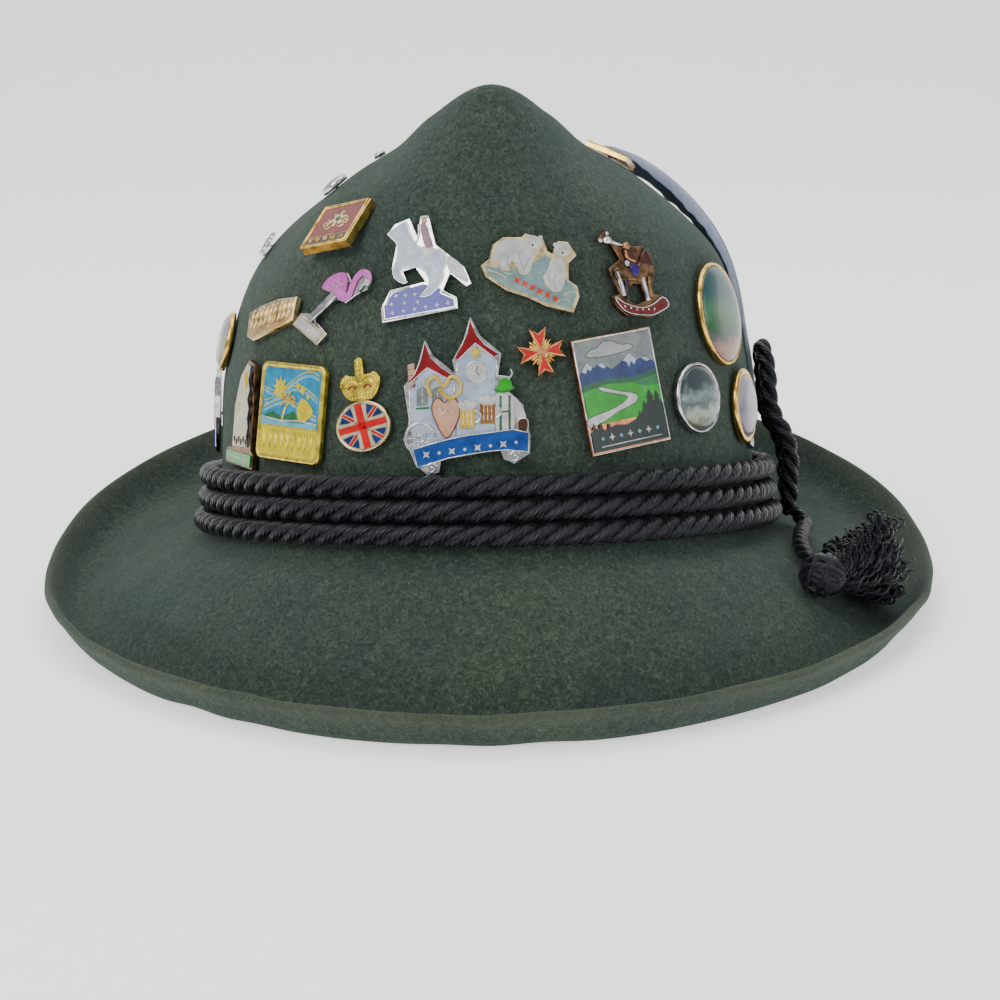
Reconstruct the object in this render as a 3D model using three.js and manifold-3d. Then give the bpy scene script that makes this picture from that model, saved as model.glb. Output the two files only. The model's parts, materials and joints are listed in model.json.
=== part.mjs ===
// Felt hat of alpine form, covered with souvenir pins, with a three-row cord band,
// a cord loop, a knotted tassel and a grey feather.
// Millimetres, +Z up, front of the hat toward -Y, wearer's left at +X.
// The hat rests on the front of its brim and on the back edge of its head opening.
import * as THREE from 'three';
import * as BufferGeometryUtils from 'three/addons/utils/BufferGeometryUtils.js';
import Module from 'manifold-3d';

const wasm = await Module();
wasm.setup();

// Felt body
const HEAD_LENGTH = 199;
const HEAD_WIDTH = 166;
const CROWN_HEIGHT = 132;
const CENTRE_HEIGHT = 82;
const PEAK_LEAN = 2.6;
const FELT = 2.5;
const REST_TILT = 11.4;
const SETTLE = 0.5;
const BRIM_REACH = 56;
const BACK_LIFT = 30;
const LIP_HEIGHT = 9;
const LIP_WIDTH = 8;
const NECK_HEIGHT = 8;
const TURN_REACH = 3.5;
const DENT_DEPTH = 5;

// Cord band, loop, tail and tassel
const BAND_ROPE = 6.6;
const BAND_ROWS = 3;
const BAND_UP = 1.4;
const LOOP_ROPE = 5.6;
const LOOP_HEIGHT = 56;
const LOOP_WIDTH = 15;
const LOOP_AZIMUTH = 92;
const TAIL_ROPE = 5;
const KNOT_RADIUS = 7.2;
const KNOT_WRAP = 2.4;
const TASSEL_WIDTH = 20;
const LOCK_WIDTH = 6.4;

// Feather
const FEATHER_WIDTH = 15;
const FEATHER_THICK = 1.4;
const QUILL = 2.2;

// Pins
const PIN_SIZE = 30;
const PIN_THICK = 1.6;
const DOME_RISE = 3.2;
const POST_RADIUS = 0.6;
const CLUTCH_RADIUS = 3;
const CLUTCH_HEIGHT = 4;

// Clearance between neighbouring pieces, and the room that flat facets need beside a curve
const GAP = 0.35;
const FACET_ROOM = 0.25;

// Facets
const AROUND = 48;
const BAND_SIDES = 6;
const POST_SIDES = 5;

// Crown: shares of the head opening's radius (out) and of the crown's height (up)
const crownTable = {
  columns: [
    'azimuth', 'wallOut', 'wallUp', 'shoulderOut', 'shoulderUp',
    'ridgeOut', 'ridgeUp', 'creaseOut', 'creaseUp',
  ],
  rows: [
    [0, 0.955, 0.4, 0.86, 0.76, 0.695, 1, 0.42, 0.8],
    [15, 0.952, 0.401, 0.849, 0.739, 0.613, 0.946, 0.384, 0.789],
    [30, 0.951, 0.404, 0.838, 0.706, 0.53, 0.893, 0.35, 0.773],
    [50, 0.952, 0.397, 0.834, 0.672, 0.495, 0.851, 0.32, 0.766],
    [75, 0.963, 0.389, 0.833, 0.655, 0.5, 0.812, 0.305, 0.758],
    [100, 0.967, 0.389, 0.843, 0.64, 0.53, 0.786, 0.325, 0.748],
    [125, 0.967, 0.389, 0.86, 0.63, 0.56, 0.763, 0.355, 0.738],
    [150, 0.977, 0.386, 0.872, 0.614, 0.592, 0.745, 0.375, 0.705],
    [180, 0.979, 0.385, 0.874, 0.605, 0.582, 0.732, 0.373, 0.689],
  ],
};

// Brim: reach and lift are shares of BRIM_REACH and BACK_LIFT,
// fallNear and fallMid are shares of the fall from the head opening to the valley
const brimTable = {
  columns: ['azimuth', 'reach', 'lift', 'fallNear', 'fallMid'],
  rows: [
    [0, 0.94, 0, 0.2, 0.61],
    [30, 0.94, 0, 0.2, 0.6],
    [60, 0.965, 0, 0.19, 0.58],
    [90, 1, 0.02, 0.18, 0.57],
    [115, 1.05, 0.28, 0.12, 0.5],
    [140, 1.02, 0.58, 0.06, 0.42],
    [180, 0.86, 1, 0.03, 0.38],
  ],
};

// Pinches beside the peak: up is a share of the crown's height, depth of DENT_DEPTH
const dentTable = {
  columns: ['azimuth', 'up', 'depth', 'spreadAround', 'spreadUp'],
  rows: [
    [24, 0.86, 1, 13, 0.1],
    [-26, 0.86, 0.7, 13, 0.1],
  ],
};

// Outlines of the pins: shares of each pin's half width and half height
const outlines = {
  box: [[-1, 1], [1, 1], [1, -1], [-1, -1]],
  horse: [
    [-0.78, 0.72], [-0.61, 0.9], [-0.29, 0.99], [-0.13, 0.63], [-0.06, 1], [0.12, 1],
    [0.26, 0.43], [0.6, 0.16], [0.86, -0.05], [1, -0.37], [0.88, -0.42], [0.55, -0.14],
    [0.4, -0.45], [0.68, -0.6], [0.7, -0.82], [-0.9, -0.97], [-0.93, -0.68],
    [-0.73, -0.36], [0.02, -0.25], [-0.19, 0.03], [-0.45, -0.02], [-0.34, -0.26],
    [-0.64, -0.12], [-0.69, 0.06], [-0.57, 0.56],
  ],
  bears: [
    [-1, 0.17], [-0.84, 0.33], [-0.77, 0.68], [-0.55, 0.89], [-0.18, 0.91], [-0.1, 1],
    [0.25, 0.91], [0.35, 0.59], [0.45, 0.52], [0.56, 0.85], [0.77, 0.83], [0.94, 0.52],
    [0.78, 0.31], [0.78, -0.11], [0.96, -0.25], [1, -0.5], [0.87, -0.91], [0.33, -0.78],
    [-0.09, -0.56], [-0.49, -0.42], [-0.91, -0.1],
  ],
  rider: [
    [-1, 0.68], [-0.74, 0.97], [-0.56, 0.75], [-0.17, 0.63], [0.31, 0.69], [0.55, 0.49],
    [0.63, 0.15], [0.48, -0.4], [0.78, -0.44], [0.98, -0.67], [0.39, -0.99],
    [-0.28, -1], [-0.55, -0.82], [-0.67, -0.6], [-0.43, -0.52], [-0.72, 0.04],
    [-0.37, 0.31], [-0.62, 0.65],
  ],
  towers: [
    [-0.99, 0.14], [-0.8, 0.32], [-0.66, 0.72], [-0.52, 0.5], [-0.19, 0.29],
    [-0.23, 0.45], [-0.06, 0.7], [0.05, 1], [0.21, 0.75], [0.53, 0.53], [0.48, 0.26],
    [0.66, 0.24], [0.64, 0.06], [0.87, -0.11], [0.98, -0.49], [0.97, -0.72],
    [0.73, -0.85], [0.56, -0.79], [0.51, -0.68], [-0.42, -0.8], [-0.44, -0.95],
    [-0.63, -0.98], [-0.8, -0.87], [-0.88, -0.71], [-1, -0.53], [-0.91, -0.29],
  ],
  flamingo: [
    [-0.35, 0.35], [-0.09, 0.65], [0.22, 0.64], [0.38, 0.31], [0.57, 0.61], [0.78, 0.49],
    [0.71, 0.2], [0.46, 0.09], [0.22, -0.07], [-0.02, 0.05], [-0.5, -0.37],
    [-0.17, -0.76], [-0.39, -1], [-1, -0.44], [-0.82, -0.19], [-0.6, -0.24],
    [-0.15, 0.21],
  ],
  bottle: [
    [-0.57, -0.62], [-0.46, 0.19], [-0.08, 0.73], [0.45, 0.98], [0.89, 0.89],
    [0.9, 0.18], [0.81, -0.65], [1, -0.72], [0.96, -1], [-0.98, -0.9], [-0.95, -0.62],
  ],
  relief: [
    [-1, -0.62], [-1, 0.7], [-0.6, 0.9], [0.15, 1], [0.95, 0.8], [0.85, -0.5], [-0.7, -1],
  ],
  cross: [
    [0.29, 0.96], [0, 0.76], [-0.29, 0.96], [-0.16, 0.34], [-0.34, 0.34], [-0.34, 0.16],
    [-0.96, 0.29], [-0.76, 0], [-0.96, -0.29], [-0.34, -0.16], [-0.34, -0.34],
    [-0.16, -0.34], [-0.29, -0.96], [0, -0.76], [0.29, -0.96], [0.16, -0.34],
    [0.34, -0.34], [0.34, -0.16], [0.96, -0.29], [0.76, 0], [0.96, 0.29], [0.34, 0.16],
    [0.34, 0.34], [0.16, 0.34],
  ],
  crownFlag: [
    [-0.36, 0.09], [-0.66, 0.32], [-0.72, 0.52], [-0.5, 0.66], [-0.16, 0.6], [-0.14, 0.95],
    [0.14, 0.95], [0.16, 0.6], [0.5, 0.66], [0.72, 0.52], [0.66, 0.32], [0.36, 0.09],
    [0.75, -0.09], [0.96, -0.45], [0.75, -0.82], [0.36, -0.98], [-0.36, -0.98],
    [-0.75, -0.82], [-0.96, -0.45], [-0.75, -0.09],
  ],
  chain: [
    [-1, 0.35], [-0.7, 1], [-0.35, 0.45], [0, 1], [0.35, 0.45], [0.7, 1], [1, 0.35],
    [1, -1], [-1, -1],
  ],
  shield: [[-0.9, 1], [0.9, 1], [1, 0], [0.6, -0.8], [0, -1], [-0.6, -0.8], [-1, 0]],
};

// Window between the horse's legs in the rider pin, as shares like the outlines
const riderWindow = [
  [-0.18, -0.38], [-0.16, -0.66], [0.04, -0.73], [0.31, -0.59], [0.2, -0.22], [-0.02, -0.22],
];

// Pins: along runs down the crown (2 crease, 3 ridge, 4 shoulder, 5 wall, 6 neck),
// width and height are shares of PIN_SIZE, turn and tip are degrees
const pinTable = {
  columns: [
    'name', 'azimuth', 'along', 'width', 'height', 'turn', 'tip', 'form', 'colour',
  ],
  rows: [
    ['red_frame', -31, 4.08, 0.66, 0.56, -6, 12, 'box', 0x9c2f2c],
    ['horse', -11, 4.45, 0.93, 1.01, 0, 0, 'horse', 0xe6e8ec],
    ['bears', 7, 4.5, 0.94, 0.77, 0, 0, 'bears', 0xdfe6e6],
    ['rider', 27, 4.45, 0.87, 0.83, 0, 0, 'rider', 0x6a5a50],
    ['picture', -37, 5.3, 0.97, 0.95, -5, 0, 'rounded', 0xe8d24c],
    ['crown_flag', -21, 5.25, 0.61, 0.91, 9, 0, 'crownFlag', 0xd8c98a],
    ['towers', -3, 5.2, 1.2, 1.5, 0, 0, 'towers', 0xb9c3d2],
    ['cross', 9, 4.95, 0.48, 0.48, 8, 0, 'cross', 0xc2392f],
    ['landscape', 23, 5.2, 0.91, 1.1, 7, 0, 'box', 0x3f8f4a],
    ['dome_green', 55, 4.65, 1.04, 1.04, 4, 0, 'dome', 0x5f8a6c],
    ['dome_silver', 42, 5.25, 0.75, 0.7, 8, 0, 'dome', 0x8fa396],
    ['dome_gold', 64, 5.3, 0.78, 0.76, 8, 0, 'dome', 0xb8aab4],
    ['stud', 70, 5.53, 0.13, 0.13, 0, 0, 'disc', 0xc8ccd0],
    ['flamingo', -28, 4.6, 1.08, 0.83, 0, 0, 'flamingo', 0xe39ac4],
    ['relief', -46, 4.66, 0.94, 0.36, 4, 0, 'relief', 0xcbb27a],
    ['disc_side', -77, 4.78, 0.62, 0.62, 0, 0, 'dome', 0xdcd8c6],
    ['bottle', -55, 5.3, 0.7, 1.1, -2, 0, 'bottle', 0xe6ddb4],
    ['shield_side', -85, 5.3, 0.56, 0.84, -8, 0, 'shield', 0x9a4a58],
    ['chain', -70, 3.95, 0.4, 0.2, -30, 0, 'chain', 0xc0c4c8],
    ['disc_top', -52, 3.45, 0.3, 0.3, 0, 0, 'dome', 0xe4e4dc],
    ['bead', -42, 3.12, 0.13, 0.13, 0, 0, 'disc', 0xc8ccd0],
    ['square_top', 47, 3.12, 0.46, 0.46, 20, 0, 'box', 0x2f3a34],
  ],
};

// Route of the loose tail over the brim: azimuth, along (7 turn, 8 near, 9 middle) and
// height of its middle above the felt, as a share of its own diameter
const tailTable = {
  columns: ['azimuth', 'along', 'lift'],
  rows: [
    [92, 8.15, 0.68],
    [85, 8.02, 0.66],
    [76, 7.97, 0.62],
    [67, 8.04, 0.62],
    [61, 8.22, 0.68],
    [57.4, 8.46, 0.92],
  ],
};
const KNOT_AT = { azimuth: 52.6, along: 8.76 };
const TASSEL_END = { azimuth: 79, along: 9.2 };

// Locks of the tassel: side and lift are shares of TASSEL_WIDTH, reach of its length
const lockTable = {
  columns: ['side', 'lift', 'reach', 'curl'],
  rows: [
    [-0.48, 0.02, 0.8, 0.08],
    [-0.16, 0.04, 0.98, -0.1],
    [0.14, 0.03, 1, 0.08],
    [0.42, 0.05, 0.84, -0.08],
    [-0.4, 0.34, 0.7, -0.1],
    [-0.06, 0.38, 0.92, 0.12],
    [0.26, 0.36, 0.78, -0.12],
    [-0.22, 0.7, 0.5, 0.1],
    [0.12, 0.8, 0.62, -0.1],
  ],
};

// Feather: route of the quill, lift of its middle above the felt in shares of
// FEATHER_WIDTH, and the vane's width as a share of FEATHER_WIDTH
const featherTable = {
  columns: ['azimuth', 'along', 'lift', 'vane'],
  rows: [
    [92, 5.4, 0, 0],
    [92, 5.1, 0, 0],
    [92.5, 4.75, 0.02, 0.12],
    [93, 4.4, 0.12, 0.4],
    [93, 4.1, 0.26, 0.66],
    [91, 3.84, 0.42, 0.88],
    [86.5, 3.58, 0.56, 1],
    [79.5, 3.34, 0.68, 1],
    [70.5, 3.14, 0.74, 0.84],
    [61, 3.02, 0.68, 0.58],
    [52, 2.96, 0.52, 0.3],
  ],
};

const radians = THREE.MathUtils.degToRad;
const tilt = radians(REST_TILT);
const halfLength = HEAD_LENGTH / 2 + FELT / 2;
const halfWidth = HEAD_WIDTH / 2 + FELT / 2;
const headHeight = halfLength * Math.sin(tilt) + FELT / 2 - SETTLE;

// Values of a table at an azimuth, the same on both sides of the hat
function tableAt(table, azimuth) {
  const wrapped = Math.abs(((((azimuth + 180) % 360) + 360) % 360) - 180);
  const rows = table.rows;
  const last = rows.length - 1;
  let k = 0;
  while (k < last - 1 && wrapped > rows[k + 1][0]) k++;
  const h = rows[k + 1][0] - rows[k][0];
  const s = (wrapped - rows[k][0]) / h;
  const slope = (i, c) => {
    if (i === 0 || i === last) return 0;
    const before = rows[i][0] - rows[i - 1][0];
    const after = rows[i + 1][0] - rows[i][0];
    const d0 = (rows[i][c] - rows[i - 1][c]) / before;
    const d1 = (rows[i + 1][c] - rows[i][c]) / after;
    return (d0 * after + d1 * before) / (before + after);
  };
  const values = {};
  table.columns.forEach((name, c) => {
    if (c === 0) return;
    const h00 = 2 * s ** 3 - 3 * s ** 2 + 1;
    const h10 = s ** 3 - 2 * s ** 2 + s;
    const h01 = 3 * s ** 2 - 2 * s ** 3;
    const h11 = s ** 3 - s ** 2;
    values[name] = h00 * rows[k][c] + h10 * h * slope(k, c)
      + h01 * rows[k + 1][c] + h11 * h * slope(k + 1, c);
  });
  return values;
}

function namedRows(table) {
  return table.rows.map((row) => {
    const entry = {};
    table.columns.forEach((name, c) => { entry[name] = row[c]; });
    return entry;
  });
}

function headRadius(azimuth) {
  const a = radians(azimuth);
  const long = halfLength * Math.sin(a);
  const wide = halfWidth * Math.cos(a);
  return (halfLength * halfWidth) / Math.sqrt(long ** 2 + wide ** 2);
}

// Head frame to floor frame: the head opening leans up toward the front
function toFloor(v) {
  return new THREE.Vector3(
    v.x,
    v.y * Math.cos(tilt) + v.z * Math.sin(tilt),
    -v.y * Math.sin(tilt) + v.z * Math.cos(tilt) + headHeight,
  );
}

function headPoint(azimuth, out, up) {
  const a = radians(azimuth);
  return toFloor(new THREE.Vector3(out * Math.sin(a), -out * Math.cos(a), up));
}

const headUp = new THREE.Vector3(0, Math.sin(tilt), Math.cos(tilt));

function profileControls(azimuth) {
  const here = tableAt(crownTable, azimuth);
  const across = tableAt(crownTable, azimuth + 180);
  const radius = headRadius(azimuth);
  const crown = (out, up) => headPoint(azimuth, radius * out, CROWN_HEIGHT * up);
  const points = [
    headPoint(azimuth + 180, radius * across.creaseOut, CROWN_HEIGHT * across.creaseUp),
    headPoint(azimuth, 0, CENTRE_HEIGHT),
    crown(here.creaseOut, here.creaseUp),
    crown(here.ridgeOut, here.ridgeUp),
    crown(here.shoulderOut, here.shoulderUp),
    crown(here.wallOut, here.wallUp),
    headPoint(azimuth, radius * 0.997, NECK_HEIGHT),
  ];
  const brim = tableAt(brimTable, azimuth);
  const root = headPoint(azimuth, radius, 0);
  const reach = BRIM_REACH * brim.reach;
  const valley = FELT / 2 - SETTLE + BACK_LIFT * brim.lift;
  const a = radians(azimuth);
  const brimPoint = (out, z) => new THREE.Vector3(
    root.x + Math.sin(a) * out, root.y - Math.cos(a) * out, z,
  );
  const fall = (share) => root.z + (valley - root.z) * share;
  points.push(
    brimPoint(TURN_REACH, fall(0.03)),
    brimPoint(reach * 0.26, fall(brim.fallNear)),
    brimPoint(reach * 0.58, fall(brim.fallMid)),
    brimPoint(reach - LIP_WIDTH, valley),
    brimPoint(reach, valley + LIP_HEIGHT),
  );
  return points;
}

const controlsKept = new Map();
function controlsAt(azimuth) {
  const key = azimuth.toFixed(6);
  if (!controlsKept.has(key)) controlsKept.set(key, profileControls(azimuth));
  return controlsKept.get(key);
}

// Smooth curve through the control points, evenly weighted by their spacing
function curveAt(points, t) {
  const last = points.length - 1;
  const i = Math.min(Math.max(Math.floor(t), 0), last - 1);
  const w = t - i;
  const p1 = points[i];
  const p2 = points[i + 1];
  const p0 = i > 0 ? points[i - 1] : p1.clone().multiplyScalar(2).sub(p2);
  const p3 = i + 2 <= last ? points[i + 2] : p2.clone().multiplyScalar(2).sub(p1);
  const spacing = (a, b) => Math.max(Math.sqrt(a.distanceTo(b)), 1e-3);
  const d0 = spacing(p0, p1);
  const d1 = spacing(p1, p2);
  const d2 = spacing(p2, p3);
  const result = new THREE.Vector3();
  for (const c of ['x', 'y', 'z']) {
    const m1 = ((p1[c] - p0[c]) / d0 - (p2[c] - p0[c]) / (d0 + d1) + (p2[c] - p1[c]) / d1) * d1;
    const m2 = ((p2[c] - p1[c]) / d1 - (p3[c] - p1[c]) / (d1 + d2) + (p3[c] - p2[c]) / d2) * d1;
    const c2 = -3 * p1[c] + 3 * p2[c] - 2 * m1 - m2;
    const c3 = 2 * p1[c] - 2 * p2[c] + m1 + m2;
    result[c] = p1[c] + m1 * w + c2 * w ** 2 + c3 * w ** 3;
  }
  return result;
}

// Middle of the felt wall at an azimuth and a place along the profile
function feltMiddle(azimuth, along) {
  const p = curveAt(controlsAt(azimuth), along);
  if (along >= 6) return p;
  const up = ((p.z - headHeight) * Math.cos(tilt) + p.y * Math.sin(tilt)) / CROWN_HEIGHT;
  const a = radians(azimuth);
  const wrapped = ((((azimuth + 180) % 360) + 360) % 360) - 180;
  let push = 0;
  for (const dent of namedRows(dentTable)) {
    const around = (wrapped - dent.azimuth) / dent.spreadAround;
    const high = (up - dent.up) / dent.spreadUp;
    push += DENT_DEPTH * dent.depth * Math.exp(-(around ** 2) - high ** 2);
  }
  const lean = THREE.MathUtils.smoothstep(up, 0.35, 0.85) * PEAK_LEAN;
  p.x += lean - push * Math.sin(a);
  p.y += push * Math.cos(a);
  return p;
}

// Middle point, outward normal and the two directions along the felt
function feltFrame(azimuth, along) {
  const point = feltMiddle(azimuth, along);
  const around = feltMiddle(azimuth + 0.2, along).sub(feltMiddle(azimuth - 0.2, along));
  const down = feltMiddle(azimuth, Math.min(along + 0.01, 11))
    .sub(feltMiddle(azimuth, along - 0.01));
  const normal = new THREE.Vector3().crossVectors(down, around).normalize();
  const right = around.normalize();
  const up = new THREE.Vector3().crossVectors(normal, right);
  return { point, normal, right, up };
}

function feltSide(azimuth, along, offset) {
  const frame = feltFrame(azimuth, along);
  return frame.point.addScaledVector(frame.normal, offset);
}

// Geometry from corner points and triangles, turned to face outward
function solidGeometry(points, triangles) {
  let volume = 0;
  for (const [a, b, c] of triangles) {
    volume += points[a].dot(new THREE.Vector3().crossVectors(points[b], points[c]));
  }
  const geometry = new THREE.BufferGeometry();
  const flat = points.flatMap((p) => [p.x, p.y, p.z]);
  geometry.setAttribute('position', new THREE.Float32BufferAttribute(flat, 3));
  const order = volume > 0 ? triangles : triangles.map(([a, b, c]) => [a, c, b]);
  geometry.setIndex(order.flat());
  return geometry;
}

// Skin through rings of equal count: a closed loop of rings, or ends closed flat
function ringSkin(rings, closed) {
  const count = rings[0].length;
  const points = rings.flat();
  const triangles = [];
  const spans = closed ? rings.length : rings.length - 1;
  for (let i = 0; i < spans; i++) {
    const next = (i + 1) % rings.length;
    for (let j = 0; j < count; j++) {
      const k = (j + 1) % count;
      const a = i * count + j;
      const b = i * count + k;
      const c = next * count + k;
      const d = next * count + j;
      triangles.push([a, b, c], [a, c, d]);
    }
  }
  if (!closed) {
    const end = (rings.length - 1) * count;
    for (let j = 1; j < count - 1; j++) {
      triangles.push([0, j + 1, j], [end, end + j, end + j + 1]);
    }
  }
  return solidGeometry(points, triangles);
}

function ringAround(centre, across, up, radii, sides) {
  const ring = [];
  for (let j = 0; j < sides; j++) {
    const a = (2 * Math.PI * (j + 0.5)) / sides;
    ring.push(centre.clone()
      .addScaledVector(across, Math.cos(a) * radii[0])
      .addScaledVector(up, Math.sin(a) * radii[1]));
  }
  return ring;
}

function toManifold(geometry) {
  const plain = geometry.clone();
  plain.deleteAttribute('normal');
  plain.deleteAttribute('uv');
  const merged = BufferGeometryUtils.mergeVertices(plain, 1e-4);
  return new wasm.Manifold(new wasm.Mesh({
    numProp: 3,
    vertProperties: new Float32Array(merged.attributes.position.array),
    triVerts: new Uint32Array(merged.index.array),
  }));
}

function fromManifold(solid) {
  const mesh = solid.getMesh();
  const geometry = new THREE.BufferGeometry();
  const array = new Float32Array((mesh.vertProperties.length / mesh.numProp) * 3);
  for (let i = 0; i < array.length / 3; i++) {
    for (let c = 0; c < 3; c++) array[3 * i + c] = mesh.vertProperties[i * mesh.numProp + c];
  }
  geometry.setAttribute('position', new THREE.BufferAttribute(array, 3));
  geometry.setIndex(Array.from(mesh.triVerts));
  return geometry;
}

function fuse(geometries) {
  const solids = geometries.map(toManifold);
  return fromManifold(solids.reduce((sum, solid) => sum.add(solid)));
}

// Crown and brim: one felt wall with a rounded rim
function feltGeometry() {
  const places = [
    1.5, 2, 2.45, 2.8, 3.1, 3.4, 3.75, 4.1, 4.5, 4.95, 5.4, 5.85, 6.25, 6.6, 6.95,
    7.5, 8.2, 8.9, 9.5, 9.95, 10.4, 11,
  ];
  const points = [];
  const triangles = [];
  const wall = (offset) => {
    const first = points.length;
    points.push(headPoint(0, 0, CENTRE_HEIGHT).add(new THREE.Vector3(0, 0, offset)));
    for (const along of places) {
      for (let j = 0; j < AROUND; j++) {
        points.push(feltSide((360 * j) / AROUND, along, offset));
      }
    }
    return first;
  };
  const outer = wall(FELT / 2);
  const inner = wall(-FELT / 2);
  const rim = points.length;
  for (let j = 0; j < AROUND; j++) {
    const azimuth = (360 * j) / AROUND;
    const edge = feltFrame(azimuth, 11);
    points.push(edge.point.addScaledVector(edge.up, -FELT / 2));
  }
  const at = (first, i, j) => first + 1 + i * AROUND + (j % AROUND);
  for (let j = 0; j < AROUND; j++) {
    triangles.push([outer, at(outer, 0, j), at(outer, 0, j + 1)]);
    triangles.push([inner, at(inner, 0, j + 1), at(inner, 0, j)]);
    for (let i = 0; i < places.length - 1; i++) {
      for (const [first, flip] of [[outer, false], [inner, true]]) {
        const quad = [at(first, i, j), at(first, i + 1, j), at(first, i + 1, j + 1), at(first, i, j + 1)];
        const halves = [[quad[0], quad[1], quad[2]], [quad[0], quad[2], quad[3]]];
        for (const half of halves) triangles.push(flip ? half.reverse() : half);
      }
    }
    const end = places.length - 1;
    const edge = rim + j;
    const next = rim + ((j + 1) % AROUND);
    triangles.push([at(outer, end, j), edge, next], [at(outer, end, j), next, at(outer, end, j + 1)]);
    triangles.push([edge, at(inner, end, j), at(inner, end, j + 1)], [edge, at(inner, end, j + 1), next]);
  }
  return solidGeometry(points, triangles);
}

// Outer face of the felt along one stretch of the profile
const WALL = [4.4, 6.5];
const TURN = [6.5, 8.8];
function feltSamples(azimuth, [from, to]) {
  const samples = [];
  for (let along = from; along < to; along += 0.06) {
    samples.push(feltSide(azimuth, along, FELT / 2));
  }
  return samples;
}

// Nearest distance from the axis at which a rope's middle lies beside the wall
function seatedOut(azimuth, up, radius) {
  const wall = feltSamples(azimuth, WALL);
  const a = radians(azimuth);
  const outward = new THREE.Vector3(Math.sin(a), -Math.cos(a), 0);
  const level = (centre) => wall.reduce((best, s) => {
    const apart = Math.abs(s.clone().sub(centre).dot(headUp));
    return apart < best.apart ? { apart, s } : best;
  }, { apart: Infinity, s: null }).s;
  const limit = headRadius(azimuth) + BRIM_REACH;
  let out = headRadius(azimuth) - HEAD_WIDTH / 8;
  for (; out < limit; out += 0.1) {
    const centre = headPoint(azimuth, out, up);
    const outside = centre.clone().sub(level(centre)).dot(outward) > 0;
    const nearest = Math.min(...wall.map((s) => s.distanceTo(centre)));
    if (outside && nearest >= radius + GAP + FACET_ROOM) break;
  }
  return out;
}

// Height of a rope's middle so that it clears the turn of the brim
function seatedUp(azimuth, up, radius) {
  const turn = feltSamples(azimuth, TURN);
  let high = up;
  for (; high < up + CROWN_HEIGHT / 4; high += 0.1) {
    const centre = headPoint(azimuth, seatedOut(azimuth, high, radius), high);
    if (Math.min(...turn.map((s) => s.distanceTo(centre))) >= radius + GAP + FACET_ROOM) break;
  }
  return high;
}

// Point moved along a direction until a ball around it clears the felt near by
function raised(point, direction, radius, azimuth, along) {
  const skin = [];
  for (let da = -18; da <= 18; da += 2) {
    for (let dt = -1.4; dt <= 1.4; dt += 0.14) {
      const place = Math.min(Math.max(along + dt, 1.2), 11);
      const near = feltFrame(azimuth + da, place);
      skin.push({ at: near.point.addScaledVector(near.normal, FELT / 2), normal: near.normal });
    }
  }
  const moved = point.clone();
  for (let step = 0; step < 80; step++) {
    const nearest = skin.reduce((best, s) => {
      const d = s.at.distanceTo(moved);
      return d < best.d ? { d, s } : best;
    }, { d: Infinity, s: null });
    const above = moved.clone().sub(nearest.s.at).dot(nearest.s.normal) > 0;
    if (above && nearest.d >= radius + GAP + FACET_ROOM) break;
    moved.addScaledVector(direction, 0.2);
  }
  return moved;
}

const bandFoot = (azimuth) => seatedUp(azimuth, BAND_UP + BAND_ROPE / 2, BAND_ROPE / 2);
const rowUp = (azimuth, row) => bandFoot(azimuth) + row * (BAND_ROPE + GAP);

function bandGeometry(row) {
  const rings = [];
  for (let j = 0; j < AROUND; j++) {
    const azimuth = (360 * j) / AROUND;
    const a = radians(azimuth);
    const up = rowUp(azimuth, row);
    const centre = headPoint(azimuth, seatedOut(azimuth, up, BAND_ROPE / 2), up);
    const outward = toFloor(new THREE.Vector3(Math.sin(a), -Math.cos(a), 0))
      .sub(toFloor(new THREE.Vector3()));
    rings.push(ringAround(centre, outward, headUp, [BAND_ROPE / 2, BAND_ROPE / 2], BAND_SIDES));
  }
  return ringSkin(rings, true);
}

// Loop: a long ring of rope that stands over the rows; the quill runs behind its top
const quillRoom = QUILL + 2 * GAP + FACET_ROOM;
const bandTop = rowUp(LOOP_AZIMUTH, BAND_ROWS - 1) + BAND_ROPE / 2;
const loopLow = BAND_UP + LOOP_ROPE / 2;

function loopCentre(angle) {
  const up = loopLow + (LOOP_HEIGHT - loopLow) * (0.5 - 0.5 * Math.cos(angle));
  const share = (up - loopLow) / (LOOP_HEIGHT - loopLow);
  const side = (LOOP_WIDTH / 2) * Math.sin(angle) * (0.7 + 0.5 * share);
  const azimuth = LOOP_AZIMUTH + THREE.MathUtils.radToDeg(side / headRadius(LOOP_AZIMUTH));
  const wall = seatedOut(azimuth, up, LOOP_ROPE / 2) + quillRoom;
  let overBand = 0;
  for (let row = 0; row < BAND_ROWS; row++) {
    overBand = Math.max(overBand, seatedOut(azimuth, rowUp(azimuth, row), BAND_ROPE / 2));
  }
  overBand += BAND_ROPE / 2 + GAP + LOOP_ROPE / 2;
  const ease = THREE.MathUtils.smoothstep(up, bandTop, bandTop + LOOP_ROPE * 3);
  return headPoint(azimuth, THREE.MathUtils.lerp(Math.max(wall, overBand), wall, ease), up);
}

function loopGeometry() {
  const stations = 26;
  const centres = [];
  for (let i = 0; i < stations; i++) centres.push(loopCentre((2 * Math.PI * i) / stations));
  const rings = centres.map((centre, i) => {
    const before = centres[(i + stations - 1) % stations];
    const after = centres[(i + 1) % stations];
    const tangent = after.clone().sub(before).normalize();
    const a = radians(LOOP_AZIMUTH);
    const outward = new THREE.Vector3(Math.sin(a), -Math.cos(a), 0);
    outward.addScaledVector(tangent, -outward.dot(tangent)).normalize();
    const side = new THREE.Vector3().crossVectors(tangent, outward);
    return ringAround(centre, outward, side, [LOOP_ROPE / 2, LOOP_ROPE / 2], 6);
  });
  return ringSkin(rings, true);
}

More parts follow.
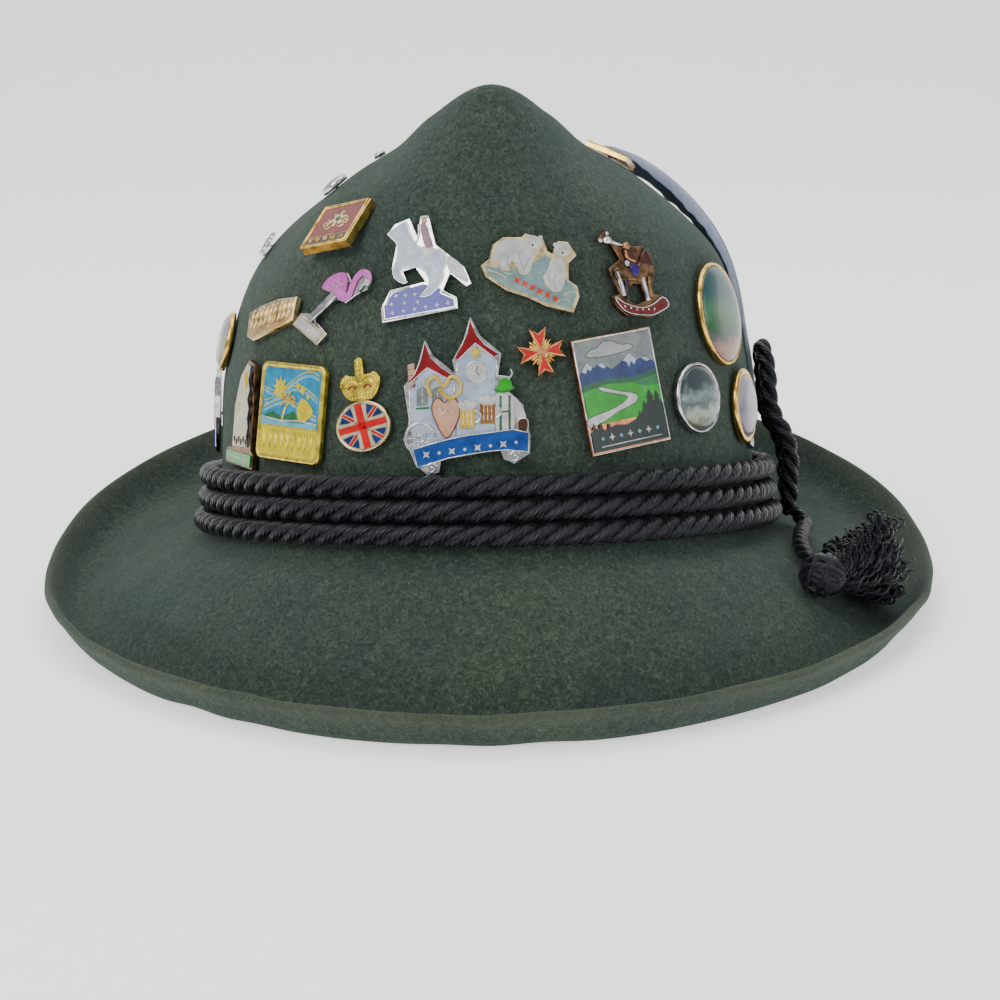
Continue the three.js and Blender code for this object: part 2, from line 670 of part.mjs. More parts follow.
// Tail: the loose cord from the loop's foot to the knot
function tailPoints() {
  const points = namedRows(tailTable).map((row) => (
    feltSide(row.azimuth, row.along, FELT / 2 + row.lift * TAIL_ROPE)));
  const foot = loopCentre(0);
  const outward = points[1].clone().sub(foot);
  outward.z = 0;
  outward.normalize();
  points[0] = foot.clone().addScaledVector(outward, LOOP_ROPE / 2 + 2 * GAP + TAIL_ROPE * 0.25);
  points[0].z = Math.max(points[0].z, feltSide(92, 7.3, FELT / 2 + 0.68 * TAIL_ROPE).z);
  return points;
}

function ropeShape(radius, sides) {
  const shape = new THREE.Shape();
  for (let j = 0; j < sides; j++) {
    const a = (2 * Math.PI * j) / sides;
    const x = radius * Math.cos(a);
    const y = radius * Math.sin(a);
    if (j === 0) shape.moveTo(x, y);
    else shape.lineTo(x, y);
  }
  shape.closePath();
  return shape;
}

function tailGeometry() {
  const route = new THREE.CatmullRomCurve3(tailPoints());
  const steps = Math.max(8, Math.round(route.getLength() / (1.6 * TAIL_ROPE)));
  return new THREE.ExtrudeGeometry(ropeShape(TAIL_ROPE / 2, 8), {
    steps, extrudePath: route, bevelEnabled: false, curveSegments: 1,
  });
}

// Tassel: a wound knot with curled locks fused to it
function tasselGeometry() {
  const knot = feltFrame(KNOT_AT.azimuth, KNOT_AT.along);
  const rest = FELT / 2 + GAP + KNOT_RADIUS;
  const centre = raised(
    knot.point.clone().addScaledVector(knot.normal, rest), knot.normal, KNOT_RADIUS,
    KNOT_AT.azimuth, KNOT_AT.along,
  );
  const pieces = [];
  const core = new THREE.SphereGeometry(KNOT_RADIUS - KNOT_WRAP * 0.4, 8, 6);
  core.translate(centre.x, centre.y, centre.z);
  pieces.push(core);
  const wraps = [[0, 20], [62, -24], [118, 34]];
  for (const [turn, lean] of wraps) {
    const ring = new THREE.TorusGeometry(KNOT_RADIUS - KNOT_WRAP / 2, KNOT_WRAP / 2, 4, 10);
    ring.rotateX(radians(lean));
    ring.rotateZ(radians(turn));
    ring.rotateX(radians(60));
    ring.translate(centre.x, centre.y, centre.z);
    pieces.push(ring);
  }
  for (const lock of namedRows(lockTable)) {
    const rings = [];
    const stations = 4;
    for (let i = 0; i < stations; i++) {
      const s = (i / (stations - 1)) * lock.reach;
      const azimuth = THREE.MathUtils.lerp(KNOT_AT.azimuth, TASSEL_END.azimuth, s);
      const along = THREE.MathUtils.lerp(KNOT_AT.along, TASSEL_END.along, s);
      const spread = Math.min(1, s * 2.2);
      const width = LOCK_WIDTH * (i === stations - 1 ? 0.45 : 0.72 + 0.28 * Math.sin(Math.PI * s));
      const here = feltFrame(azimuth, along);
      const ahead = feltFrame(azimuth + 3, along + 0.05);
      const forward = ahead.point.clone().sub(here.point).normalize();
      const side = new THREE.Vector3().crossVectors(here.normal, forward).normalize();
      const wave = lock.curl * Math.sin(s * 9) * LOCK_WIDTH;
      const low = FELT / 2 + GAP + width / 2;
      const base = THREE.MathUtils.lerp(rest, low, Math.min(1, s * 1.6));
      const placed = here.point.clone()
        .addScaledVector(here.normal, base + lock.lift * TASSEL_WIDTH * spread)
        .addScaledVector(side, lock.side * TASSEL_WIDTH * spread + wave);
      const middle = raised(placed, here.normal, width / 2, azimuth, along);
      rings.push(ringAround(middle, side, here.normal, [width / 2, width / 2.2], 5));
    }
    pieces.push(ringSkin(rings, false));
  }
  return fuse(pieces);
}

// Feather: slanted strips of vane, saw-toothed at their ends, fused to a quill
function featherGeometry() {
  const rows = namedRows(featherTable);
  const frames = rows.map((row) => feltFrame(row.azimuth, row.along));
  const quillPoints = rows.map((row, i) => frames[i].point.clone()
    .addScaledVector(frames[i].normal, FELT / 2 + quillRoom - QUILL / 2 - GAP
      + row.lift * FEATHER_WIDTH * 0.5));
  const route = new THREE.CatmullRomCurve3(quillPoints);
  const section = (s) => {
    const place = s * (rows.length - 1);
    const i = Math.min(Math.floor(place), rows.length - 2);
    const w = place - i;
    const normal = frames[i].normal.clone().lerp(frames[i + 1].normal, w).normalize();
    const point = route.getPoint(s);
    const tangent = route.getTangent(s);
    normal.addScaledVector(tangent, -normal.dot(tangent)).normalize();
    const side = new THREE.Vector3().crossVectors(tangent, normal).normalize();
    const vane = THREE.MathUtils.lerp(rows[i].vane, rows[i + 1].vane, w);
    return { point, tangent, normal, side, vane };
  };
  const strips = 14;
  const rings = [];
  for (let k = 0; k <= strips; k++) {
    for (const notch of [1, 0.8]) {
      const s = (k + (notch === 1 ? 0 : 0.72)) / (strips + 0.72);
      const at = section(s);
      const quill = (QUILL / 2) * (1 - 0.5 * s);
      const half = Math.max((FEATHER_WIDTH / 2) * at.vane * notch, quill * 1.05);
      const slant = half * 0.55;
      const thick = Math.min(FEATHER_THICK / 2, quill * 0.6);
      const corner = (x, y, ahead) => at.point.clone()
        .addScaledVector(at.side, x)
        .addScaledVector(at.normal, y)
        .addScaledVector(at.tangent, ahead);
      rings.push([
        corner(-half, -half * 0.14, slant), corner(-quill, thick, 0), corner(0, quill, 0),
        corner(quill, thick, 0), corner(half, -half * 0.14, slant),
        corner(quill, -thick, 0), corner(0, -quill, 0), corner(-quill, -thick, 0),
      ]);
    }
  }
  return ringSkin(rings, false);
}

// Outline of a pin in millimetres
function pinShape(pin) {
  const halfX = (pin.width * PIN_SIZE) / 2;
  const halfY = (pin.height * PIN_SIZE) / 2;
  const shape = new THREE.Shape();
  if (pin.form === 'rounded') {
    const corner = Math.min(halfX, halfY) * 0.3;
    const corners = [[1, 1, 0], [-1, 1, 90], [-1, -1, 180], [1, -1, 270]];
    corners.forEach(([x, y, start], i) => {
      for (const step of [0, 45, 90]) {
        const a = radians(start + step);
        const px = x * (halfX - corner) + corner * Math.cos(a);
        const py = y * (halfY - corner) + corner * Math.sin(a);
        if (i === 0 && step === 0) shape.moveTo(px, py);
        else shape.lineTo(px, py);
      }
    });
  } else {
    const count = 10;
    const round = Array.from({ length: count }, (_, i) => [
      Math.cos((2 * Math.PI * i) / count), Math.sin((2 * Math.PI * i) / count)]);
    const points = pin.form === 'disc' ? round : outlines[pin.form];
    points.forEach(([x, y], i) => {
      if (i === 0) shape.moveTo(x * halfX, y * halfY);
      else shape.lineTo(x * halfX, y * halfY);
    });
  }
  shape.closePath();
  if (pin.form === 'rider') {
    const window = new THREE.Path();
    riderWindow.forEach(([x, y], i) => {
      if (i === 0) window.moveTo(x * halfX, y * halfY);
      else window.lineTo(x * halfX, y * halfY);
    });
    window.closePath();
    shape.holes.push(window);
  }
  return shape;
}

function plateGeometry(pin) {
  if (pin.form !== 'dome') {
    return new THREE.ExtrudeGeometry(pinShape(pin), {
      depth: PIN_THICK, bevelEnabled: false, curveSegments: 1,
    });
  }
  const profile = [
    [0, 0], [1, 0], [1, PIN_THICK], [0.84, PIN_THICK + DOME_RISE * 0.5],
    [0.5, PIN_THICK + DOME_RISE * 0.88], [0, PIN_THICK + DOME_RISE],
  ].map(([x, y]) => new THREE.Vector2(x, y));
  const dome = new THREE.LatheGeometry(profile, 12);
  dome.rotateX(Math.PI / 2);
  dome.scale((pin.width * PIN_SIZE) / 2, (pin.height * PIN_SIZE) / 2, 1);
  return dome;
}

// Place of a pin: a flat seat that clears the felt, and the depth of its clutch
function pinSeat(pin) {
  const frame = feltFrame(pin.azimuth, pin.along);
  const origin = frame.point.clone().addScaledVector(frame.normal, FELT / 2);
  const basis = new THREE.Matrix4().makeBasis(frame.right, frame.up, frame.normal);
  const turned = new THREE.Quaternion().setFromRotationMatrix(basis)
    .multiply(new THREE.Quaternion().setFromAxisAngle(new THREE.Vector3(1, 0, 0), -radians(pin.tip)))
    .multiply(new THREE.Quaternion().setFromAxisAngle(new THREE.Vector3(0, 0, 1), radians(pin.turn)));
  const right = new THREE.Vector3(1, 0, 0).applyQuaternion(turned);
  const up = new THREE.Vector3(0, 1, 0).applyQuaternion(turned);
  const normal = new THREE.Vector3(0, 0, 1).applyQuaternion(turned);
  const halfX = (pin.width * PIN_SIZE) / 2 + 1;
  const halfY = (pin.height * PIN_SIZE) / 2 + 1;
  let proud = 0;
  let deep = 0;
  for (let da = -26; da <= 26; da += 2) {
    for (let dt = -1.2; dt <= 1.2; dt += 0.08) {
      const along = Math.min(Math.max(pin.along + dt, 1.2), 7);
      const near = feltFrame(pin.azimuth + da, along);
      const skin = near.point.clone().addScaledVector(near.normal, FELT / 2).sub(origin);
      const x = skin.dot(right);
      const y = skin.dot(up);
      if (Math.abs(x) <= halfX && Math.abs(y) <= halfY) proud = Math.max(proud, skin.dot(normal));
      const back = near.point.clone().addScaledVector(near.normal, -FELT / 2).sub(origin);
      if (Math.hypot(back.dot(right), back.dot(up)) <= CLUTCH_RADIUS + 2) {
        const depth = -back.dot(normal);
        if (depth < FELT * 3) deep = Math.max(deep, depth);
      }
    }
  }
  deep = Math.max(deep, FELT);
  const lift = proud + GAP + 0.1;
  return { origin, turned, normal, lift, deep: deep + GAP + 2 * FACET_ROOM };
}

// Middle of the band's top row beside the pins
const topRow = [];
for (let azimuth = -120; azimuth <= 120; azimuth += 2) {
  const up = rowUp(azimuth, BAND_ROWS - 1);
  topRow.push(headPoint(azimuth, seatedOut(azimuth, up, BAND_ROPE / 2), up));
}

// Distance from a seated plate's corners to the middle of the band's top row
function bandDistance(pin, seat) {
  const back = seat.origin.clone().addScaledVector(seat.normal, seat.lift);
  let nearest = Infinity;
  for (const [x, y] of outlines[pin.form] || outlines.box) {
    for (const z of [0, PIN_THICK]) {
      const corner = new THREE.Vector3(
        (x * pin.width * PIN_SIZE) / 2, (y * pin.height * PIN_SIZE) / 2, z,
      ).applyQuaternion(seat.turned).add(back);
      for (const middle of topRow) nearest = Math.min(nearest, corner.distanceTo(middle));
    }
  }
  return nearest;
}

// A pin that would touch the band sits a little higher on the crown
function clearSeat(pin) {
  const step = 0.03;
  let seat = pinSeat(pin);
  for (let along = pin.along - step; along > 3; along -= step) {
    if (bandDistance(pin, seat) >= BAND_ROPE / 2 - FACET_ROOM) break;
    seat = pinSeat({ ...pin, along });
  }
  return seat;
}

function pinGeometry(pin, seat) {
  const reach = seat.lift + seat.deep + CLUTCH_HEIGHT - 1 - GAP;
  const post = new THREE.CylinderGeometry(POST_RADIUS, POST_RADIUS, reach + PIN_THICK / 2, POST_SIDES);
  post.rotateX(Math.PI / 2);
  post.translate(0, 0, PIN_THICK / 2 - (reach + PIN_THICK / 2) / 2);
  return fuse([plateGeometry(pin), post]);
}

function clutchGeometry() {
  const bore = POST_RADIUS + GAP;
  const profile = [
    [0, -CLUTCH_HEIGHT], [CLUTCH_RADIUS, -CLUTCH_HEIGHT], [CLUTCH_RADIUS, 0],
    [bore, 0], [bore, 1 - CLUTCH_HEIGHT], [0, 1 - CLUTCH_HEIGHT],
  ].map(([x, y]) => new THREE.Vector2(x, y));
  const clutch = new THREE.LatheGeometry(profile, POST_SIDES);
  clutch.rotateX(Math.PI / 2);
  return clutch;
}

function holeSolid(seat) {
  const hole = new THREE.CylinderGeometry(
    POST_RADIUS + GAP * 1.4, POST_RADIUS + GAP * 1.4, FELT * 6, POST_SIDES,
  );
  hole.rotateX(Math.PI / 2);
  hole.applyQuaternion(seat.turned);
  hole.translate(seat.origin.x, seat.origin.y, seat.origin.z);
  return toManifold(hole);
}

const hat = new THREE.Group();

function addPiece(name, geometry, colour, roughness, metalness) {
  const shaded = geometry.clone();
  shaded.deleteAttribute('uv');
  shaded.computeVertexNormals();
  const mesh = new THREE.Mesh(
    shaded, new THREE.MeshStandardMaterial({ color: colour, roughness, metalness }),
  );
  mesh.name = name;
  hat.add(mesh);
  return mesh;
}

const FELT_COLOUR = 0x444c44;
const CORD_COLOUR = 0x18181c;
const STEEL_COLOUR = 0xb8b4a4;

const seats = new Map();
for (const pin of namedRows(pinTable)) seats.set(pin.name, clearSeat(pin));

// Felt, flattened where it touches the floor, with a hole for each post
const below = new THREE.BoxGeometry(HEAD_LENGTH * 4, HEAD_LENGTH * 4, HEAD_LENGTH);
below.translate(0, 0, -HEAD_LENGTH / 2);
let feltSolid = toManifold(feltGeometry()).subtract(toManifold(below));
for (const seat of seats.values()) feltSolid = feltSolid.subtract(holeSolid(seat));
addPiece('felt_body', fromManifold(feltSolid), FELT_COLOUR, 0.95, 0);

for (let row = 0; row < BAND_ROWS; row++) {
  addPiece(`band_cord_${row + 1}`, bandGeometry(row), CORD_COLOUR, 0.6, 0);
}
addPiece('cord_loop', loopGeometry(), CORD_COLOUR, 0.6, 0);
addPiece('cord_tail', tailGeometry(), CORD_COLOUR, 0.6, 0);
addPiece('tassel', tasselGeometry(), CORD_COLOUR, 0.7, 0);
addPiece('feather', featherGeometry(), 0x7d8798, 0.8, 0);

for (const pin of namedRows(pinTable)) {
  const seat = seats.get(pin.name);
  const plate = addPiece(`pin_${pin.name}`, pinGeometry(pin, seat), pin.colour, 0.35, 0.5);
  plate.position.copy(seat.origin).addScaledVector(seat.normal, seat.lift);
  plate.quaternion.copy(seat.turned);
  const clutch = addPiece(`clutch_${pin.name}`, clutchGeometry(), STEEL_COLOUR, 0.3, 0.9);
  clutch.position.copy(seat.origin).addScaledVector(seat.normal, -seat.deep);
  clutch.quaternion.copy(seat.turned);
}

// Origin on the floor, under the middle of the brim
const feltBox = new THREE.Box3().setFromObject(hat.children[0]);
hat.position.set(
  -(feltBox.min.x + feltBox.max.x) / 2, -(feltBox.min.y + feltBox.max.y) / 2, -feltBox.min.z,
);

export default hat;
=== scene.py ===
import json
import math
import bpy
import numpy as np
from mathutils import Matrix, Vector
from mathutils.geometry import tessellate_polygon

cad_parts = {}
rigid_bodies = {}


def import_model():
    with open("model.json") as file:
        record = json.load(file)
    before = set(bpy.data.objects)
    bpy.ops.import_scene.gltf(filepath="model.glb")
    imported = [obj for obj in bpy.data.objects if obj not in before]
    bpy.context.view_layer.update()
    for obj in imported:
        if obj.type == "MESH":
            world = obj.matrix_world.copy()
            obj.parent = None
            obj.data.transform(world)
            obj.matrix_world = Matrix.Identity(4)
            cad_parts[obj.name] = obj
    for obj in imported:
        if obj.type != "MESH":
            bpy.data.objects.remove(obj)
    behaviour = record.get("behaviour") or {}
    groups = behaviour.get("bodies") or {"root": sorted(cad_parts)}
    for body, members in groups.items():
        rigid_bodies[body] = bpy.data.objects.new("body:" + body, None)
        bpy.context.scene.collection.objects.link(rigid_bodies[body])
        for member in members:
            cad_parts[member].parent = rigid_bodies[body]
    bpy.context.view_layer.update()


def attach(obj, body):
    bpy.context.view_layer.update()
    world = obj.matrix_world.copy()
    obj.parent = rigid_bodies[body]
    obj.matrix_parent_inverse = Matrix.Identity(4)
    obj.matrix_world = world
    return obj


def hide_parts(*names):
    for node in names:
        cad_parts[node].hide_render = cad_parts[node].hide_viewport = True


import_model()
MM = 0.001
# The source centres the hat between its rims, which moves it back by this
CENTRED = 2.243
SHIFT = np.array([0.0, CENTRED, 0.0])
rng = np.random.default_rng(11)

# Camera at the photograph's angle: a long lens, slightly above the brim
EYE = Vector((0.0, CENTRED - 772.85, 235.0))
FORWARD = Vector((0.00479, 0.96629, -0.25741)).normalized()
RIGHT = FORWARD.cross(Vector((0.0160, 0.2573, 0.9662))).normalized()
UPWARD = RIGHT.cross(FORWARD)
FOCAL = 2501.0
SENSOR = 36.0
PICTURE_SIZE = 1000.0
ENAMEL_STRENGTH = 1.35
ENAMEL_DEPTH = 0.72
VANE_DROOP = 0.55


def place_camera():
    camera_data = bpy.data.cameras.new("camera")
    camera_data.sensor_width = SENSOR
    camera_data.lens = FOCAL * SENSOR / PICTURE_SIZE
    camera_data.clip_start = 0.05
    camera_data.clip_end = 20.0
    camera = bpy.data.objects.new("camera", camera_data)
    pose = Matrix((RIGHT, UPWARD, -FORWARD)).transposed().to_4x4()
    pose.translation = EYE * MM
    camera.matrix_world = pose
    bpy.context.scene.collection.objects.link(camera)
    bpy.context.scene.camera = camera


place_camera()


# materials
def new_material(name):
    material = bpy.data.materials.new(name)
    material.use_nodes = True
    tree = material.node_tree
    tree.nodes.clear()
    out = tree.nodes.new("ShaderNodeOutputMaterial")
    shader = tree.nodes.new("ShaderNodeBsdfPrincipled")
    tree.links.new(shader.outputs[0], out.inputs[0])
    return material, tree, shader


def node(tree, kind, **values):
    made = tree.nodes.new(kind)
    for key, value in values.items():
        if key in made.inputs:
            made.inputs[key].default_value = value
        else:
            setattr(made, key, value)
    return made


def linear(rgb):
    return [c / 12.92 if c <= 0.04045 else ((c + 0.055) / 1.055) ** 2.4 for c in rgb]


def ramp(tree, source, stops):
    made = tree.nodes.new("ShaderNodeValToRGB")
    elements = made.color_ramp.elements
    while len(elements) < len(stops):
        elements.new(0.5)
    for element, (place, rgb) in zip(elements, stops):
        element.position = place
        element.color = (*linear(rgb), 1.0)
    tree.links.new(source, made.inputs[0])
    return made


def mixed(tree, kind, factor, first, second):
    made = tree.nodes.new("ShaderNodeMix")
    made.data_type = "RGBA"
    made.blend_type = kind
    if isinstance(factor, float):
        made.inputs[0].default_value = factor
    else:
        tree.links.new(factor, made.inputs[0])
    tree.links.new(first, made.inputs[6])
    if isinstance(second, (list, tuple)):
        made.inputs[7].default_value = (*linear(second), 1.0)
    else:
        tree.links.new(second, made.inputs[7])
    return made.outputs[2]


def add_bump(tree, shader, height, strength, distance):
    bump = node(tree, "ShaderNodeBump", Strength=strength, Distance=distance)
    tree.links.new(height, bump.inputs["Height"])
    tree.links.new(bump.outputs[0], shader.inputs["Normal"])
    return bump


def felt_material(name, lift=0.0):
    material, tree, shader = new_material(name)
    place = tree.nodes.new("ShaderNodeNewGeometry").outputs["Position"]
    grain = node(tree, "ShaderNodeTexNoise", Scale=1500.0, Detail=3.0, Roughness=0.7)
    fleck = node(tree, "ShaderNodeTexNoise", Scale=620.0, Detail=4.0, Roughness=0.75, Distortion=1.2)
    cloud = node(tree, "ShaderNodeTexNoise", Scale=26.0, Detail=3.0, Roughness=0.6)
    for texture in (grain, fleck, cloud):
        tree.links.new(place, texture.inputs["Vector"])
    base = ramp(tree, fleck.outputs[0], [
        (0.30, (0.150 + lift, 0.182 + lift, 0.160 + lift)),
        (0.50, (0.230 + lift, 0.270 + lift, 0.238 + lift)),
        (0.72, (0.355 + lift, 0.390 + lift, 0.340 + lift)),
    ])
    tone = ramp(tree, cloud.outputs[0], [(0.3, (0.86, 0.90, 0.92)), (0.7, (1.0, 1.0, 0.97))])
    colour = mixed(tree, "MULTIPLY", 1.0, base.outputs[0], tone.outputs[0])
    speck = ramp(tree, grain.outputs[0], [(0.35, (0.74, 0.76, 0.74)), (0.66, (1.0, 1.0, 1.0))])
    colour = mixed(tree, "MULTIPLY", 0.8, colour, speck.outputs[0])
    # Painted highlight: the edge attribute mixes a lighter brownish tone into the rolled rim, standing in for
    # the light the rim catches.
    edge = node(tree, "ShaderNodeAttribute", attribute_name="edge")
    colour = mixed(tree, "MIX", edge.outputs["Fac"], colour, (0.31, 0.32, 0.26))
    tree.links.new(colour, shader.inputs["Base Color"])
    shader.inputs["Roughness"].default_value = 0.96
    shader.inputs["Specular IOR Level"].default_value = 0.12
    shader.inputs["Sheen Weight"].default_value = 0.14
    shader.inputs["Sheen Roughness"].default_value = 0.55
    shader.inputs["Sheen Tint"].default_value = (0.50, 0.64, 0.60, 1.0)
    height = mixed(tree, "ADD", 0.5, fleck.outputs[0], grain.outputs[0])
    add_bump(tree, shader, height, 0.55, 0.0006)
    return material


def thread_material(name, dark, light, filaments, slant, rough):
    """Satin yarn: fine filaments along UV, slanted round the strand; the lighter filament lines are a painted
    satin highlight on the dark yarn.
    """
    material, tree, shader = new_material(name)
    uv = tree.nodes.new("ShaderNodeUVMap")
    uv.uv_map = "yarn"
    parts = tree.nodes.new("ShaderNodeSeparateXYZ")
    tree.links.new(uv.outputs[0], parts.inputs[0])
    around = node(tree, "ShaderNodeMath", operation="MULTIPLY")
    around.inputs[1].default_value = filaments
    tree.links.new(parts.outputs[1], around.inputs[0])
    both = node(tree, "ShaderNodeMath", operation="MULTIPLY_ADD")
    both.inputs[1].default_value = slant
    tree.links.new(parts.outputs[0], both.inputs[0])
    tree.links.new(around.outputs[0], both.inputs[2])
    turns = node(tree, "ShaderNodeMath", operation="MULTIPLY")
    turns.inputs[1].default_value = 2 * math.pi
    tree.links.new(both.outputs[0], turns.inputs[0])
    lines = node(tree, "ShaderNodeMath", operation="SINE")
    tree.links.new(turns.outputs[0], lines.inputs[0])
    level = node(tree, "ShaderNodeMath", operation="MULTIPLY_ADD")
    level.inputs[1].default_value = 0.5
    level.inputs[2].default_value = 0.5
    tree.links.new(lines.outputs[0], level.inputs[0])
    place = tree.nodes.new("ShaderNodeNewGeometry").outputs["Position"]
    fuzz = node(tree, "ShaderNodeTexNoise", Scale=900.0, Detail=3.0, Roughness=0.7)
    patch = node(tree, "ShaderNodeTexNoise", Scale=110.0, Detail=2.0)
    tree.links.new(place, fuzz.inputs["Vector"])
    tree.links.new(place, patch.inputs["Vector"])
    # Painted highlight: stripes run from the yarn's dark colour up to a lighter blue-grey that stands in for
    # the satin sheen on each filament.
    base = ramp(tree, level.outputs[0], [(0.1, dark), (0.9, light)])
    shade = ramp(tree, fuzz.outputs[0], [(0.3, (0.55, 0.57, 0.60)), (0.7, (1.0, 1.0, 1.0))])
    colour = mixed(tree, "MULTIPLY", 0.8, base.outputs[0], shade.outputs[0])
    tint = ramp(tree, patch.outputs[0], [(0.3, (0.80, 0.84, 0.92)), (0.7, (1.0, 0.98, 0.95))])
    colour = mixed(tree, "MULTIPLY", 0.8, colour, tint.outputs[0])
    tree.links.new(colour, shader.inputs["Base Color"])
    shader.inputs["Roughness"].default_value = rough
    shader.inputs["Specular IOR Level"].default_value = 0.3
    shader.inputs["Sheen Weight"].default_value = 0.05
    shader.inputs["Sheen Roughness"].default_value = 0.4
    height = mixed(tree, "ADD", 0.3, level.outputs[0], fuzz.outputs[0])
    add_bump(tree, shader, height, 0.7, 0.00022)
    return material


def metal_material(name, rgb, rough, wear=0.12):
    material, tree, shader = new_material(name)
    place = tree.nodes.new("ShaderNodeNewGeometry").outputs["Position"]
    spots = node(tree, "ShaderNodeTexNoise", Scale=420.0, Detail=3.0)
    fine = node(tree, "ShaderNodeTexNoise", Scale=2600.0, Detail=2.0)
    tree.links.new(place, spots.inputs["Vector"])
    tree.links.new(place, fine.inputs["Vector"])
    low = [c * (1 - 2.2 * wear) for c in rgb]
    base = ramp(tree, spots.outputs[0], [(0.32, low), (0.6, rgb)])
    tree.links.new(base.outputs[0], shader.inputs["Base Color"])
    gloss = node(tree, "ShaderNodeMapRange")
    gloss.inputs["To Min"].default_value = rough * 0.7
    gloss.inputs["To Max"].default_value = rough * 1.5
    tree.links.new(spots.outputs[0], gloss.inputs["Value"])
    tree.links.new(gloss.outputs[0], shader.inputs["Roughness"])
    shader.inputs["Metallic"].default_value = 1.0
    add_bump(tree, shader, fine.outputs[0], 0.12, 0.00008)
    return material


def deeper(rgb):
    """A stronger and darker tone of a colour, as glassy enamel has."""
    middle = sum(rgb) / 3
    return [min(max((middle + (c - middle) * ENAMEL_STRENGTH) * ENAMEL_DEPTH, 0.0), 1.0) for c in rgb]


def enamel_material(name, rgb, vary=0.08, rough=0.22):
    material, tree, shader = new_material(name)
    rgb = deeper(rgb)
    place = tree.nodes.new("ShaderNodeNewGeometry").outputs["Position"]
    pool = node(tree, "ShaderNodeTexNoise", Scale=300.0, Detail=3.0, Roughness=0.6)
    pits = node(tree, "ShaderNodeTexNoise", Scale=1400.0, Detail=2.0)
    tree.links.new(place, pool.inputs["Vector"])
    tree.links.new(place, pits.inputs["Vector"])
    low = [max(c - vary, 0.0) for c in rgb]
    high = [min(c + vary * 0.6, 1.0) for c in rgb]
    base = ramp(tree, pool.outputs[0], [(0.3, low), (0.7, high)])
    tree.links.new(base.outputs[0], shader.inputs["Base Color"])
    shader.inputs["Roughness"].default_value = rough
    shader.inputs["Specular IOR Level"].default_value = 0.35
    shader.inputs["Coat Weight"].default_value = 0.2
    shader.inputs["Coat Roughness"].default_value = 0.12
    add_bump(tree, shader, pits.outputs[0], 0.15, 0.00006)
    return material


def dome_material(name, stops, scale, warp):
    """Glossy dome over a soft picture: bands of colour that a noise bends."""
    material, tree, shader = new_material(name)
    uv = tree.nodes.new("ShaderNodeUVMap")
    uv.uv_map = "yarn"
    parts = tree.nodes.new("ShaderNodeSeparateXYZ")
    tree.links.new(uv.outputs[0], parts.inputs[0])
    bend = node(tree, "ShaderNodeTexNoise", Scale=scale, Detail=5.0, Roughness=0.65)
    tree.links.new(uv.outputs[0], bend.inputs["Vector"])
    mixes = node(tree, "ShaderNodeMath", operation="MULTIPLY_ADD")
    mixes.inputs[1].default_value = warp
    tree.links.new(bend.outputs[0], mixes.inputs[0])
    tree.links.new(parts.outputs[1], mixes.inputs[2])
    base = ramp(tree, mixes.outputs[0], [(place, deeper(rgb)) for place, rgb in stops])
    tree.links.new(base.outputs[0], shader.inputs["Base Color"])
    shader.inputs["Roughness"].default_value = 0.3
    shader.inputs["Coat Weight"].default_value = 0.4
    shader.inputs["Coat Roughness"].default_value = 0.03
    return material


def feather_material(name):
    material, tree, shader = new_material(name)
    uv = tree.nodes.new("ShaderNodeUVMap")
    uv.uv_map = "yarn"
    parts = tree.nodes.new("ShaderNodeSeparateXYZ")
    tree.links.new(uv.outputs[0], parts.inputs[0])
    size = node(tree, "ShaderNodeMath", operation="ABSOLUTE")
    tree.links.new(parts.outputs[1], size.inputs[0])
    barb = node(tree, "ShaderNodeMath", operation="MULTIPLY_ADD")
    barb.inputs[1].default_value = -9.0
    tree.links.new(size.outputs[0], barb.inputs[0])
    tree.links.new(parts.outputs[0], barb.inputs[2])
    turns = node(tree, "ShaderNodeMath", operation="MULTIPLY")
    turns.inputs[1].default_value = 2 * math.pi / 0.55
    tree.links.new(barb.outputs[0], turns.inputs[0])
    lines = node(tree, "ShaderNodeMath", operation="SINE")
    tree.links.new(turns.outputs[0], lines.inputs[0])
    level = node(tree, "ShaderNodeMath", operation="MULTIPLY_ADD")
    level.inputs[1].default_value = 0.5
    level.inputs[2].default_value = 0.5
    tree.links.new(lines.outputs[0], level.inputs[0])
    place = tree.nodes.new("ShaderNodeNewGeometry").outputs["Position"]
    cloud = node(tree, "ShaderNodeTexNoise", Scale=90.0, Detail=3.0)
    tree.links.new(place, cloud.inputs["Vector"])
    base = ramp(tree, cloud.outputs[0], [(0.3, (0.33, 0.38, 0.48)), (0.7, (0.47, 0.52, 0.62))])
    stripe = ramp(tree, level.outputs[0], [(0.1, (0.84, 0.85, 0.87)), (0.9, (1.0, 1.0, 1.0))])
    colour = mixed(tree, "MULTIPLY", 0.8, base.outputs[0], stripe.outputs[0])
    tree.links.new(colour, shader.inputs["Base Color"])
    shader.inputs["Roughness"].default_value = 0.62
    shader.inputs["Sheen Weight"].default_value = 0.3
    add_bump(tree, shader, level.outputs[0], 0.4, 0.0001)
    return material


